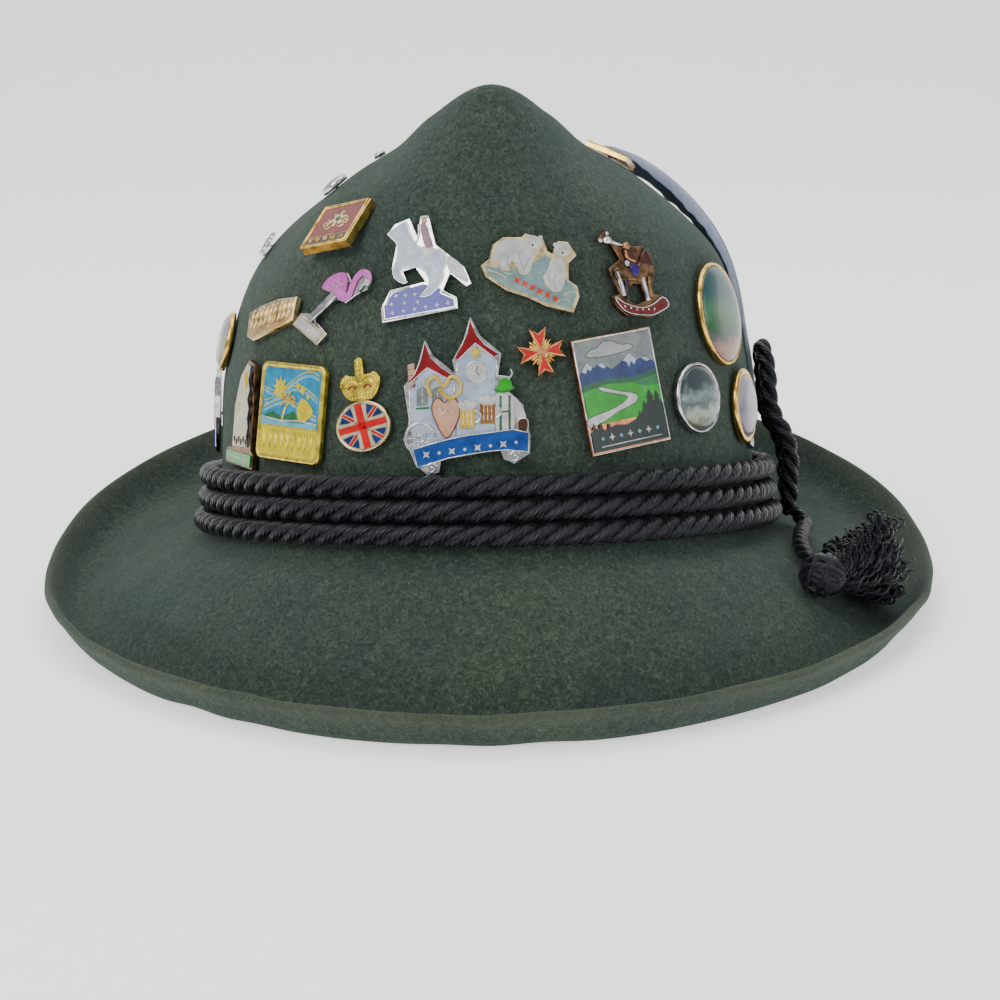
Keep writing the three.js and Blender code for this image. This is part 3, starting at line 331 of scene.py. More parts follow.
MATERIALS = {
    "felt": felt_material("felt"),
    "nap": felt_material("felt_nap", 0.07),
    # Cord, knot and tassel yarn: near-black, with lighter blue-grey filament lines; the lighter tone is a
    # painted satin highlight.
    "cord": thread_material("cord", (0.012, 0.016, 0.024), (0.095, 0.112, 0.145), 9.0, 0.22, 0.36),
    "knot": thread_material("knot_cord", (0.014, 0.018, 0.028), (0.10, 0.12, 0.165), 14.0, 0.9, 0.32),
    "tassel": thread_material("tassel_thread", (0.016, 0.02, 0.03), (0.11, 0.13, 0.17), 3.0, 1.2, 0.38),
    "feather": feather_material("feather"),
    "quill": enamel_material("quill", (0.70, 0.74, 0.78), 0.06, 0.4),
    "gold": metal_material("gold_metal", (0.93, 0.76, 0.40), 0.20),
    "pale_gold": metal_material("pale_gold_metal", (0.93, 0.83, 0.62), 0.26),
    "yellow_gold": metal_material("yellow_gold_metal", (0.96, 0.86, 0.34), 0.28),
    "silver": metal_material("silver_metal", (0.86, 0.86, 0.86), 0.18),
    "bronze": metal_material("bronze_metal", (0.56, 0.43, 0.31), 0.30, 0.2),
    "copper": metal_material("copper_metal", (0.86, 0.58, 0.42), 0.24),
    "clutch": metal_material("clutch_metal", (0.82, 0.70, 0.42), 0.28),
}
ENAMELS = {
    "white": (0.93, 0.93, 0.92), "cream": (0.90, 0.87, 0.76), "ice": (0.60, 0.71, 0.70),
    "sky_white": (0.84, 0.89, 0.96), "black": (0.05, 0.05, 0.055), "red": (0.80, 0.09, 0.11),
    "dark_red": (0.52, 0.08, 0.10), "wine": (0.46, 0.20, 0.18), "blue": (0.10, 0.33, 0.60),
    "navy": (0.10, 0.22, 0.42), "royal": (0.16, 0.15, 0.66), "green": (0.16, 0.62, 0.14),
    "deep_green": (0.08, 0.36, 0.22), "forest": (0.05, 0.13, 0.11), "cyan": (0.12, 0.62, 0.78),
    "light_blue": (0.55, 0.83, 0.90), "yellow": (0.95, 0.88, 0.18), "pink": (0.93, 0.56, 0.86),
    "mauve": (0.55, 0.36, 0.46), "brown": (0.28, 0.17, 0.12), "skin": (0.93, 0.76, 0.65),
    "orange": (0.90, 0.27, 0.16), "grey": (0.58, 0.60, 0.60), "light_grey": (0.76, 0.77, 0.77),
    "purple": (0.28, 0.18, 0.52), "straw": (0.93, 0.82, 0.42), "beer": (0.62, 0.46, 0.28),
    "mid_green": (0.20, 0.47, 0.28),
}
for key, rgb in ENAMELS.items():
    MATERIALS[key] = enamel_material("enamel_" + key, rgb, 0.04 + 0.05 * max(rgb))
MATERIALS["dome_green"] = dome_material("dome_picture_green", [
    (0.18, (0.55, 0.42, 0.33)), (0.34, (0.70, 0.52, 0.42)), (0.46, (0.16, 0.20, 0.20)),
    (0.58, (0.10, 0.36, 0.16)), (0.74, (0.30, 0.50, 0.36)), (0.92, (0.10, 0.32, 0.33)),
], 3.2, 0.42)
MATERIALS["dome_silver"] = dome_material("dome_picture_silver", [
    (0.20, (0.13, 0.17, 0.15)), (0.40, (0.42, 0.46, 0.38)), (0.55, (0.80, 0.82, 0.76)),
    (0.68, (0.34, 0.40, 0.40)), (0.82, (0.62, 0.70, 0.70)), (0.96, (0.20, 0.26, 0.27)),
], 4.5, 0.55)
MATERIALS["dome_gold"] = dome_material("dome_picture_gold", [
    (0.20, (0.52, 0.46, 0.52)), (0.50, (0.72, 0.68, 0.74)), (0.75, (0.58, 0.56, 0.66)),
    (0.95, (0.78, 0.76, 0.80)),
], 5.0, 0.5)
MATERIALS["dome_white"] = dome_material("dome_picture_white", [
    (0.25, (0.62, 0.62, 0.58)), (0.55, (0.90, 0.89, 0.85)), (0.85, (0.80, 0.82, 0.84)),
], 3.0, 0.4)


# meshes
class Builder:
    """Collects faces with a material and a smooth flag into one mesh, in millimetres."""

    def __init__(self):
        self.points = []
        self.faces = []
        self.kinds = []
        self.soft = []
        self.uvs = []
        self.names = []

    def kind(self, name):
        if name not in self.names:
            self.names.append(name)
        return self.names.index(name)

    def add(self, points, faces, name, soft=False, uvs=None):
        first = len(self.points)
        self.points.extend([tuple(p) for p in points])
        kind = self.kind(name)
        for face in faces:
            self.faces.append([first + i for i in face])
            self.kinds.append(kind)
            self.soft.append(soft)
            if uvs is None:
                self.uvs.extend([(0.0, 0.0)] * len(face))
            else:
                self.uvs.extend([tuple(uvs[i]) for i in face])

    def object(self, name, matrix=None, scale=MM):
        mesh = bpy.data.meshes.new(name)
        points = np.array(self.points, dtype=float)
        if matrix is not None:
            points = points @ matrix[:3, :3].T + matrix[:3, 3]
        mesh.from_pydata((points * scale).tolist(), [], self.faces)
        for key in self.names:
            mesh.materials.append(MATERIALS[key])
        mesh.polygons.foreach_set("material_index", self.kinds)
        mesh.polygons.foreach_set("use_smooth", self.soft)
        layer = mesh.uv_layers.new(name="yarn")
        layer.data.foreach_set("uv", np.array(self.uvs, dtype=float).ravel())
        mesh.update()
        made = bpy.data.objects.new(name, mesh)
        bpy.context.scene.collection.objects.link(made)
        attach(made, "root")
        return made


def grid_faces(rows, columns, wrap=True):
    faces = []
    spans = columns if wrap else columns - 1
    for i in range(rows - 1):
        for j in range(spans):
            k = (j + 1) % columns
            faces.append((i * columns + j, i * columns + k, (i + 1) * columns + k, (i + 1) * columns + j))
    return faces


def grid_object(name, points, faces, material, uvs=None):
    """Large smooth mesh from arrays, points in the row frame's millimetres."""
    mesh = bpy.data.meshes.new(name)
    mesh.from_pydata((np.asarray(points) * MM).tolist(), [], faces)
    mesh.materials.append(MATERIALS[material])
    mesh.polygons.foreach_set("use_smooth", [True] * len(mesh.polygons))
    if uvs is not None:
        layer = mesh.uv_layers.new(name="yarn")
        loops = np.empty(len(mesh.loops), dtype=np.int32)
        mesh.loops.foreach_get("vertex_index", loops)
        layer.data.foreach_set("uv", np.asarray(uvs)[loops].ravel())
    mesh.update()
    made = bpy.data.objects.new(name, mesh)
    bpy.context.scene.collection.objects.link(made)
    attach(made, "root")
    return made


# the felt's surface
HEAD_LENGTH, HEAD_WIDTH, CROWN_HEIGHT, CENTRE_HEIGHT = 199.0, 166.0, 132.0, 82.0
PEAK_LEAN, FELT, REST_TILT, SETTLE = 2.6, 2.5, 11.4, 0.5
BRIM_REACH, BACK_LIFT, LIP_HEIGHT, LIP_WIDTH = 56.0, 30.0, 9.0, 8.0
NECK_HEIGHT, TURN_REACH, DENT_DEPTH = 8.0, 3.5, 5.0
BAND_ROPE, BAND_UP, GAP, FACET_ROOM = 6.6, 1.4, 0.35, 0.25
CROWN = np.array([
    [0, 0.955, 0.4, 0.86, 0.76, 0.695, 1, 0.42, 0.8],
    [15, 0.952, 0.401, 0.849, 0.739, 0.613, 0.946, 0.384, 0.789],
    [30, 0.951, 0.404, 0.838, 0.706, 0.53, 0.893, 0.35, 0.773],
    [50, 0.952, 0.397, 0.834, 0.672, 0.495, 0.851, 0.32, 0.766],
    [75, 0.963, 0.389, 0.833, 0.655, 0.5, 0.812, 0.305, 0.758],
    [100, 0.967, 0.389, 0.843, 0.64, 0.53, 0.786, 0.325, 0.748],
    [125, 0.967, 0.389, 0.86, 0.63, 0.56, 0.763, 0.355, 0.738],
    [150, 0.977, 0.386, 0.872, 0.614, 0.592, 0.745, 0.375, 0.705],
    [180, 0.979, 0.385, 0.874, 0.605, 0.582, 0.732, 0.373, 0.689],
])
BRIM = np.array([
    [0, 0.94, 0, 0.2, 0.61],
    [30, 0.94, 0, 0.2, 0.6],
    [60, 0.965, 0, 0.19, 0.58],
    [90, 1, 0.02, 0.18, 0.57],
    [115, 1.05, 0.28, 0.12, 0.5],
    [140, 1.02, 0.58, 0.06, 0.42],
    [180, 0.86, 1, 0.03, 0.38],
])
DENTS = [(24, 0.86, 1, 13, 0.1), (-26, 0.86, 0.7, 13, 0.1)]
TILT = math.radians(REST_TILT)
HALF_LENGTH = HEAD_LENGTH / 2 + FELT / 2
HALF_WIDTH = HEAD_WIDTH / 2 + FELT / 2
HEAD_UP_Z = HALF_LENGTH * math.sin(TILT) + FELT / 2 - SETTLE
HEAD_UP = np.array([0.0, math.sin(TILT), math.cos(TILT)])


def table_at(table, azimuth):
    wrapped = np.abs((np.asarray(azimuth, float) + 180.0) % 360.0 - 180.0)
    keys = table[:, 0]
    last = len(keys) - 1
    k = np.searchsorted(keys[1:last], wrapped, side="left")
    h = (keys[k + 1] - keys[k])[..., None]
    s = (wrapped[..., None] - keys[k][..., None]) / h
    slopes = np.zeros_like(table)
    for i in range(1, last):
        before, after = keys[i] - keys[i - 1], keys[i + 1] - keys[i]
        d0 = (table[i] - table[i - 1]) / before
        d1 = (table[i + 1] - table[i]) / after
        slopes[i] = (d0 * after + d1 * before) / (before + after)
    value = ((2 * s ** 3 - 3 * s ** 2 + 1) * table[k] + (s ** 3 - 2 * s ** 2 + s) * h * slopes[k]
             + (3 * s ** 2 - 2 * s ** 3) * table[k + 1] + (s ** 3 - s ** 2) * h * slopes[k + 1])
    return value[..., 1:]


def head_radius(azimuth):
    a = np.radians(azimuth)
    return HALF_LENGTH * HALF_WIDTH / np.sqrt((HALF_LENGTH * np.sin(a)) ** 2 + (HALF_WIDTH * np.cos(a)) ** 2)


def head_point(azimuth, out, up):
    a = np.radians(azimuth)
    x, y, z = out * np.sin(a), -out * np.cos(a), up * np.ones_like(a)
    return np.stack([
        x, y * math.cos(TILT) + z * math.sin(TILT),
        -y * math.sin(TILT) + z * math.cos(TILT) + HEAD_UP_Z,
    ], axis=-1)


def profile_controls(azimuth):
    azimuth = np.asarray(azimuth, float)
    here, across = table_at(CROWN, azimuth), table_at(CROWN, azimuth + 180)
    radius = head_radius(azimuth)
    brim = table_at(BRIM, azimuth)
    points = [
        head_point(azimuth + 180, radius * across[..., 6], CROWN_HEIGHT * across[..., 7]),
        head_point(azimuth, 0 * radius, CENTRE_HEIGHT + 0 * radius),
    ]
    for column in (6, 4, 2, 0):
        points.append(head_point(azimuth, radius * here[..., column], CROWN_HEIGHT * here[..., column + 1]))
    points.append(head_point(azimuth, radius * 0.997, NECK_HEIGHT + 0 * radius))
    root = head_point(azimuth, radius, 0 * radius)
    reach = BRIM_REACH * brim[..., 0]
    valley = FELT / 2 - SETTLE + BACK_LIFT * brim[..., 1]
    a = np.radians(azimuth)

    def brim_point(out, z):
        return np.stack([root[..., 0] + np.sin(a) * out, root[..., 1] - np.cos(a) * out, z], axis=-1)

    def fall(share):
        return root[..., 2] + (valley - root[..., 2]) * share

    points.append(brim_point(TURN_REACH + 0 * reach, fall(0.03)))
    points.append(brim_point(reach * 0.26, fall(brim[..., 2])))
    points.append(brim_point(reach * 0.58, fall(brim[..., 3])))
    points.append(brim_point(reach - LIP_WIDTH, valley))
    points.append(brim_point(reach, valley + LIP_HEIGHT))
    return np.stack(points, axis=0)


def curve_at(controls, t):
    last = controls.shape[0] - 1
    i = np.clip(np.floor(t).astype(int), 0, last - 1)
    w = (t - i)[..., None]

    def pick(k):
        clipped = np.clip(k, 0, last)
        if clipped.ndim == 0:
            return controls[clipped]
        return np.take_along_axis(controls, np.broadcast_to(
            clipped[None, ..., None], (1,) + controls.shape[1:]), axis=0)[0]

    p1, p2 = pick(i), pick(i + 1)
    p0 = np.where((i > 0)[..., None], pick(i - 1), 2 * p1 - p2)
    p3 = np.where((i + 2 <= last)[..., None], pick(i + 2), 2 * p2 - p1)

    def spacing(a, b):
        return np.maximum(np.sqrt(np.linalg.norm(a - b, axis=-1)), 1e-3)[..., None]

    d0, d1, d2 = spacing(p0, p1), spacing(p1, p2), spacing(p2, p3)
    m1 = ((p1 - p0) / d0 - (p2 - p0) / (d0 + d1) + (p2 - p1) / d1) * d1
    m2 = ((p2 - p1) / d1 - (p3 - p1) / (d1 + d2) + (p3 - p2) / d2) * d1
    return p1 + m1 * w + (-3 * p1 + 3 * p2 - 2 * m1 - m2) * w ** 2 + (2 * p1 - 2 * p2 + m1 + m2) * w ** 3


def smooth(value, low, high):
    s = np.clip((value - low) / (high - low), 0, 1)
    return s * s * (3 - 2 * s)


def felt_middle(azimuth, along):
    azimuth, along = np.broadcast_arrays(np.asarray(azimuth, float), np.asarray(along, float))
    p = curve_at(profile_controls(azimuth), along)
    up = ((p[..., 2] - HEAD_UP_Z) * math.cos(TILT) + p[..., 1] * math.sin(TILT)) / CROWN_HEIGHT
    a = np.radians(azimuth)
    wrapped = (azimuth + 180.0) % 360.0 - 180.0
    push = np.zeros_like(up)
    for place, high, depth, around, spread in DENTS:
        push = push + DENT_DEPTH * depth * np.exp(-((wrapped - place) / around) ** 2
                                                  - ((up - high) / spread) ** 2)
    crown = along < 6
    p = p.copy()
    p[..., 0] += np.where(crown, smooth(up, 0.35, 0.85) * PEAK_LEAN - push * np.sin(a), 0)
    p[..., 1] += np.where(crown, push * np.cos(a), 0)
    return p


def unit(v):
    return v / np.maximum(np.linalg.norm(v, axis=-1, keepdims=True), 1e-9)


def felt_frame(azimuth, along):
    azimuth, along = np.broadcast_arrays(np.asarray(azimuth, float), np.asarray(along, float))
    point = felt_middle(azimuth, along)
    around = felt_middle(azimuth + 0.2, along) - felt_middle(azimuth - 0.2, along)
    down = felt_middle(azimuth, np.minimum(along + 0.01, 11.0)) - felt_middle(azimuth, along - 0.01)
    normal = unit(np.cross(down, around))
    right = unit(around)
    return point, normal, right, np.cross(normal, right)


def felt_side(azimuth, along, offset):
    point, normal, _, _ = felt_frame(azimuth, along)
    return point + normal * np.asarray(offset)[..., None]


def seated_out(azimuth, up, radius):
    """Nearest distance from the axis at which a rope's middle lies beside the wall."""
    azimuth = np.asarray(azimuth, float)
    steps = np.arange(4.4, 6.5, 0.06)
    wall = felt_side(azimuth[:, None], steps[None, :], FELT / 2 * np.ones((len(azimuth), len(steps))))
    outs = head_radius(azimuth)[:, None] - HEAD_WIDTH / 8 + np.arange(0, 40, 0.1)[None, :]
    centre = head_point(azimuth[:, None] + 0 * outs, outs, up[:, None] + 0 * outs)
    gap = centre[:, :, None, :] - wall[:, None, :, :]
    nearest = np.linalg.norm(gap, axis=-1).min(axis=-1)
    level = np.abs(gap @ HEAD_UP).argmin(axis=-1)
    a = np.radians(azimuth)
    outward = np.stack([np.sin(a), -np.cos(a), 0 * a], axis=-1)
    apart = np.take_along_axis(gap, level[..., None, None], axis=2)[:, :, 0, :]
    outside = np.einsum("nkc,nc->nk", apart, outward) > 0
    good = outside & (nearest >= radius + GAP + FACET_ROOM)
    return outs[np.arange(len(azimuth)), good.argmax(axis=1)]


# ropes
def resample(path, count, closed):
    ring = np.vstack([path, path[:1]]) if closed else path
    length = np.concatenate([[0], np.cumsum(np.linalg.norm(np.diff(ring, axis=0), axis=1))])
    places = np.linspace(0, length[-1], count, endpoint=not closed)
    return np.stack([np.interp(places, length, ring[:, c]) for c in range(ring.shape[1])], axis=1), length[-1]


def catmull(points, closed, per=12):
    points = np.asarray(points, float)
    count = len(points)
    spans = count if closed else count - 1
    rows = []
    for i in range(spans):
        def at(k):
            return points[k % count] if closed else points[min(max(k, 0), count - 1)]
        p0, p1, p2, p3 = at(i - 1), at(i), at(i + 1), at(i + 2)
        for w in np.arange(per) / per:
            rows.append(0.5 * (2 * p1 + (p2 - p0) * w + (2 * p0 - 5 * p1 + 4 * p2 - p3) * w ** 2
                               + (3 * p1 - p0 - 3 * p2 + p3) * w ** 3))
    if not closed:
        rows.append(points[-1])
    return np.array(rows)


def tube(path, outs, radii, sides, closed, u_scale=1.0, flat=1.0):
    """Rings of a tube along a path, and their UVs: millimetres along, turns around."""
    count = len(path)
    if closed:
        tangent = unit(np.roll(path, -1, axis=0) - np.roll(path, 1, axis=0))
    else:
        tangent = unit(np.gradient(path, axis=0))
    outs = unit(outs - tangent * np.einsum("nc,nc->n", outs, tangent)[:, None])
    side = np.cross(tangent, outs)
    radii = np.broadcast_to(np.asarray(radii, float), (count,))
    rings = count + 1 if closed else count
    angle = np.linspace(0, 2 * math.pi, sides + 1)
    seg = np.linalg.norm(np.diff(np.vstack([path, path[:1]]), axis=0), axis=1)
    along = np.concatenate([[0], np.cumsum(seg)])[:rings]
    index = np.arange(rings) % count
    points = (path[index][:, None, :]
              + outs[index][:, None, :] * (np.cos(angle)[None, :, None] * radii[index][:, None, None])
              + side[index][:, None, :] * (np.sin(angle)[None, :, None] * radii[index][:, None, None] * flat))
    uvs = np.stack(np.broadcast_arrays(along[:, None] * u_scale, angle[None, :] / (2 * math.pi)), axis=-1)
    faces = grid_faces(rings, sides + 1, wrap=False)
    return points.reshape(-1, 3), faces, uvs.reshape(-1, 2)


class Strands:
    """Many tubes gathered into one smooth mesh."""

    def __init__(self):
        self.points, self.faces, self.uvs, self.count = [], [], [], 0

    def add(self, points, faces, uvs):
        self.points.append(points)
        self.uvs.append(uvs)
        self.faces.extend([tuple(i + self.count for i in f) for f in faces])
        self.count += len(points)

    def object(self, name, material):
        return grid_object(name, np.vstack(self.points) + 0.0, self.faces, material, np.vstack(self.uvs))


def twisted(strands, centres, outs, closed, diameter, pitch, per_turn=16, sides=10, hand=1.0, squeeze=4.05):
    """Three-strand rope laid along a route."""
    both = np.hstack([centres, outs])
    _, length = resample(centres, 8, closed)
    turns = max(round(length / pitch), 1) if closed else length / pitch
    count = int(max(turns * per_turn, 24))
    both, _ = resample(both, count, closed)
    centres, outs = both[:, :3], unit(both[:, 3:])
    if closed:
        tangent = unit(np.roll(centres, -1, axis=0) - np.roll(centres, 1, axis=0))
    else:
        tangent = unit(np.gradient(centres, axis=0))
    outs = unit(outs - tangent * np.einsum("nc,nc->n", outs, tangent)[:, None])
    side = np.cross(tangent, outs)
    radius = diameter / squeeze
    centre_out = diameter / 2 - radius
    phase = 2 * math.pi * turns * (np.arange(count) / (count if closed else count - 1))
    for k in range(3):
        angle = hand * phase + 2 * math.pi * k / 3
        radial = outs * np.cos(angle)[:, None] + side * np.sin(angle)[:, None]
        swell = radius * (1 + 0.035 * np.sin(phase * 0.37 + 2.1 * k) + 0.02 * np.sin(phase * 1.31 + k))
        path = centres + radial * centre_out
        if closed:
            strands.add(*tube(path, radial, swell, sides, True))
        else:
            taper = np.ones(count)
            taper[0], taper[-1] = 0.35, 0.35
            strands.add(*tube(path, radial, swell * taper, sides, False))


# Routes of the cords
TURN_STEPS = np.arange(6.5, 8.8, 0.06)
BAND_ROWS = 3
LOOP_ROPE, LOOP_HEIGHT, LOOP_WIDTH, LOOP_AZIMUTH = 5.6, 56.0, 15.0, 92.0
QUILL = 2.2
QUILL_ROOM = QUILL + 2 * GAP + FACET_ROOM
TAIL_ROPE = 5.0
# azimuth, along and height of the middle above the felt as a share of the rope's diameter
TAIL_TABLE = [
    (92, 8.15, 0.68), (85, 8.02, 0.66), (76, 7.97, 0.62),
    (67, 8.04, 0.62), (61, 8.22, 0.68), (57.4, 8.46, 0.92),
]


def seated_up(azimuth, up, radius):
    """Height at which a rope's middle also clears the turn of the brim."""
    azimuth = np.asarray(azimuth, float)
    turn = felt_side(azimuth[:, None], TURN_STEPS[None, :], np.full((len(azimuth), len(TURN_STEPS)),
        FELT / 2))
    high = np.full(len(azimuth), float(up))
    low = np.ones(len(azimuth), bool)
    while low.any() and high.max() < up + CROWN_HEIGHT / 4:
        centre = head_point(azimuth[low], seated_out(azimuth[low], high[low], radius), high[low])
        nearest = np.linalg.norm(turn[low] - centre[:, None, :], axis=-1).min(axis=1)
        low[np.flatnonzero(low)[nearest >= radius + GAP + FACET_ROOM]] = False
        high[low] += 0.1
    return high


def row_up(azimuth, row):
    return seated_up(azimuth, BAND_UP + BAND_ROPE / 2, BAND_ROPE / 2) + row * (BAND_ROPE + GAP)


def loop_route():
    """Middles of the loop: over the band's rows at its foot, beside the wall above them."""
    low = BAND_UP + LOOP_ROPE / 2
    angle = 2 * math.pi * np.arange(26) / 26
    share = 0.5 - 0.5 * np.cos(angle)
    up = low + (LOOP_HEIGHT - low) * share
    aside = LOOP_WIDTH / 2 * np.sin(angle) * (0.7 + 0.5 * share)
    azimuth = LOOP_AZIMUTH + np.degrees(aside / head_radius(LOOP_AZIMUTH))
    wall = seated_out(azimuth, up, LOOP_ROPE / 2) + QUILL_ROOM
    foot = row_up(azimuth, 0)
    rows = [seated_out(azimuth, foot + row * (BAND_ROPE + GAP), BAND_ROPE / 2) for row in range(BAND_ROWS)]
    over_band = np.max(rows, axis=0) + BAND_ROPE / 2 + GAP + LOOP_ROPE / 2
    top = row_up(np.array([LOOP_AZIMUTH]), BAND_ROWS - 1)[0] + BAND_ROPE / 2
    ease = smooth(up, top, top + 3 * LOOP_ROPE)
    out = np.maximum(wall, over_band) * (1 - ease) + wall * ease
    return head_point(azimuth, out, up) + SHIFT


def tail_route(foot):
    """Middles of the loose tail from the loop's foot to the knot, evenly spaced."""
    azimuth, along, lift = np.array(TAIL_TABLE, float).T
    points = felt_side(azimuth, along, FELT / 2 + lift * TAIL_ROPE) + SHIFT
    outward = unit((points[1] - foot) * [1, 1, 0])
    points[0] = foot + outward * (LOOP_ROPE / 2 + 2 * GAP + TAIL_ROPE * 0.25)
    rest = felt_side(np.array([LOOP_AZIMUTH]), np.array([7.3]), np.array([FELT / 2 + lift[0] * TAIL_ROPE]))[0]
    points[0, 2] = max(points[0, 2], rest[2])
    places = np.linspace(0, len(points) - 1, 200)
    fine = curve_at(np.repeat(points[:, None], len(places), axis=1), places)
    return resample(fine, 25, False)[0]


LOOP = loop_route()
TAIL = tail_route(LOOP[0])


def make_tail():
    strands = Strands()
    outs = np.tile([0.35, 0.0, 0.94], (len(TAIL), 1))
    twisted(strands, TAIL, outs, False, TAIL_ROPE, 15.0, hand=-1.0)
    return strands.object("tail_cord", "cord")


# Knot and tassel at the tail's end: azimuth and along of both, and the knot's lift off the felt
KNOT_AT, TASSEL_END = (52.6, 8.76), (79.0, 9.2)
KNOT_RADIUS, KNOT_LIFT = 7.2, 0.4
KNOT_FOOT, KNOT_NORMAL, _, _ = felt_frame(*KNOT_AT)
KNOT = KNOT_FOOT + KNOT_NORMAL * (FELT / 2 + GAP + KNOT_RADIUS + KNOT_LIFT) + SHIFT
TASSEL_WIDTH, LOCK_WIDTH = 20.0, 6.4
# Wraps of the knot: turn and lean in degrees, shift in millimetres, size as a share
WRAPS = [
    (0, 18, -2.6, 0.86), (8, 26, -0.6, 0.98), (-4, 22, 1.5, 0.97), (10, 30, 3.4, 0.82),
    (74, -22, -1.9, 0.90), (84, -14, 0.3, 0.97), (70, -20, 2.4, 0.90),
    (38, 62, -0.8, 0.88), (46, 70, 1.4, 0.86), (118, 52, 0.2, 0.92),
]


def make_knot():
    knot_strands = Strands()
    toward = unit(TAIL[-1] - KNOT)
    across = unit(np.cross(KNOT_NORMAL, toward))
    toward = np.cross(across, KNOT_NORMAL)
    for turn, lean, shift, size in WRAPS:
        turn, lean = math.radians(turn), math.radians(lean)
        axis = unit(toward * math.cos(turn) * math.cos(lean) + across * math.sin(turn) * math.cos(lean)
                    + KNOT_NORMAL * math.sin(lean))
        first = unit(np.cross(axis, KNOT_NORMAL + 0.01 * toward))
        second = np.cross(axis, first)
        angle = np.linspace(0, 2 * math.pi, 40, endpoint=False)
        reach = KNOT_RADIUS - 1.3
        ring_radius = math.sqrt(max(reach ** 2 - shift ** 2, 4.0)) * (0.5 + 0.5 * size)
        radial = first * np.cos(angle)[:, None] + second * np.sin(angle)[:, None]
        wobble = 0.35 * np.sin(2 * angle + turn * 5)[:, None] * axis
        ring = KNOT + axis * shift + radial * ring_radius + wobble
        knot_strands.add(*tube(ring, radial, 1.22, 10, True))
    core_angle = np.linspace(0.12, math.pi - 0.12, 14)
    core = KNOT + np.cos(core_angle)[:, None] * toward * (KNOT_RADIUS - 1.9)
    knot_strands.add(*tube(core, np.tile(KNOT_NORMAL, (14, 1)), np.sin(core_angle) * (KNOT_RADIUS - 1.9),
                           16, False))
    return knot_strands.object("tassel_knot", "knot")


# Locks of the tassel: side and lift as shares of TASSEL_WIDTH, reach of its length, and curl
LOCKS = [
    (-0.48, 0.02, 0.8, 0.08), (-0.16, 0.04, 0.98, -0.1), (0.14, 0.03, 1, 0.08),
    (0.42, 0.05, 0.84, -0.08), (-0.4, 0.34, 0.7, -0.1), (-0.06, 0.38, 0.92, 0.12),
    (0.26, 0.36, 0.78, -0.12), (-0.22, 0.7, 0.5, 0.1), (0.12, 0.8, 0.62, -0.1),
]


def make_tassel():
    threads = Strands()
    for side_share, lift, reach, curl in LOCKS:
        s = np.linspace(0, 1, 9) * reach
        azimuth, along = (a + (b - a) * s for a, b in zip(KNOT_AT, TASSEL_END))
        here, normal, _, _ = felt_frame(azimuth, along)
        ahead = felt_frame(azimuth + 3, along + 0.05)[0]
        forward = unit(ahead - here)
        sideways = unit(np.cross(normal, forward))
        spread = np.minimum(1, s * 2.2)
        width = LOCK_WIDTH * (0.72 + 0.28 * np.sin(math.pi * np.minimum(s, 1)))
        rest = FELT / 2 + GAP + KNOT_RADIUS
        low = FELT / 2 + GAP + width / 2
        base = rest + (low - rest) * np.minimum(1, s * 1.6) + 0.8
        axis = (here + normal * (base + lift * TASSEL_WIDTH * spread)[:, None]
                + sideways * (side_share * TASSEL_WIDTH * spread + curl * np.sin(s * 9) * LOCK_WIDTH)[:,
                    None] + SHIFT)
        fine = catmull(axis, False, 9)
        steps = len(fine)
        up = np.repeat(normal, 9, axis=0)[:steps]
        up = np.vstack([up, np.tile(normal[-1], (steps - len(up), 1))]) if len(up) < steps else up
        tangent = unit(np.gradient(fine, axis=0))
        up = unit(up - tangent * np.einsum("nc,nc->n", up, tangent)[:, None])
        sway = np.cross(tangent, up)
        share = np.linspace(0, 1, steps)
        for _ in range(34):
            r0, a0 = math.sqrt(rng.random()) * LOCK_WIDTH * 0.48, rng.random() * 2 * math.pi
            grow = 0.45 + 0.75 * share
            turns = rng.uniform(4.0, 8.0)
            twist = a0 + share * rng.uniform(-1.6, 1.6)
            crimp = rng.uniform(0.8, 1.5)
            phase = rng.random() * 6.28
            end = int(steps * rng.uniform(0.72, 1.0))
            drift = rng.normal(0, 1.3, 2) * 1.0
            offset_side = r0 * np.cos(twist) * grow + crimp * np.cos(2 * math.pi * turns * share
                + phase) * np.minimum(1, share * 4)
            offset_up = r0 * np.sin(twist) * grow + crimp * np.sin(2 * math.pi * turns * share
                + phase) * np.minimum(1, share * 4)
            path = fine + sway * (offset_side + drift[0] * share ** 2)[:,
                None] + up * (offset_up + abs(drift[1]) * share ** 2)[:, None]
            path = path[:max(end, 8)]
            radius = np.full(len(path), rng.uniform(0.34, 0.50))
            radius[-1] *= 0.3
            threads.add(*tube(path, up[:len(path)], radius, 4, False))
    return threads.object("tassel_threads", "tassel")


tail, knot, tassel = make_tail(), make_knot(), make_tassel()
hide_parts("cord_tail")
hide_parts("tassel")
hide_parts("tassel")

# felt body
COLUMNS, ROWS = 288, 122
fine_t = np.linspace(1.03, 11.0, 800)
line = felt_middle(40.0 + 0 * fine_t, fine_t)
run = np.concatenate([[0], np.cumsum(np.linalg.norm(np.diff(line, axis=0), axis=1))])


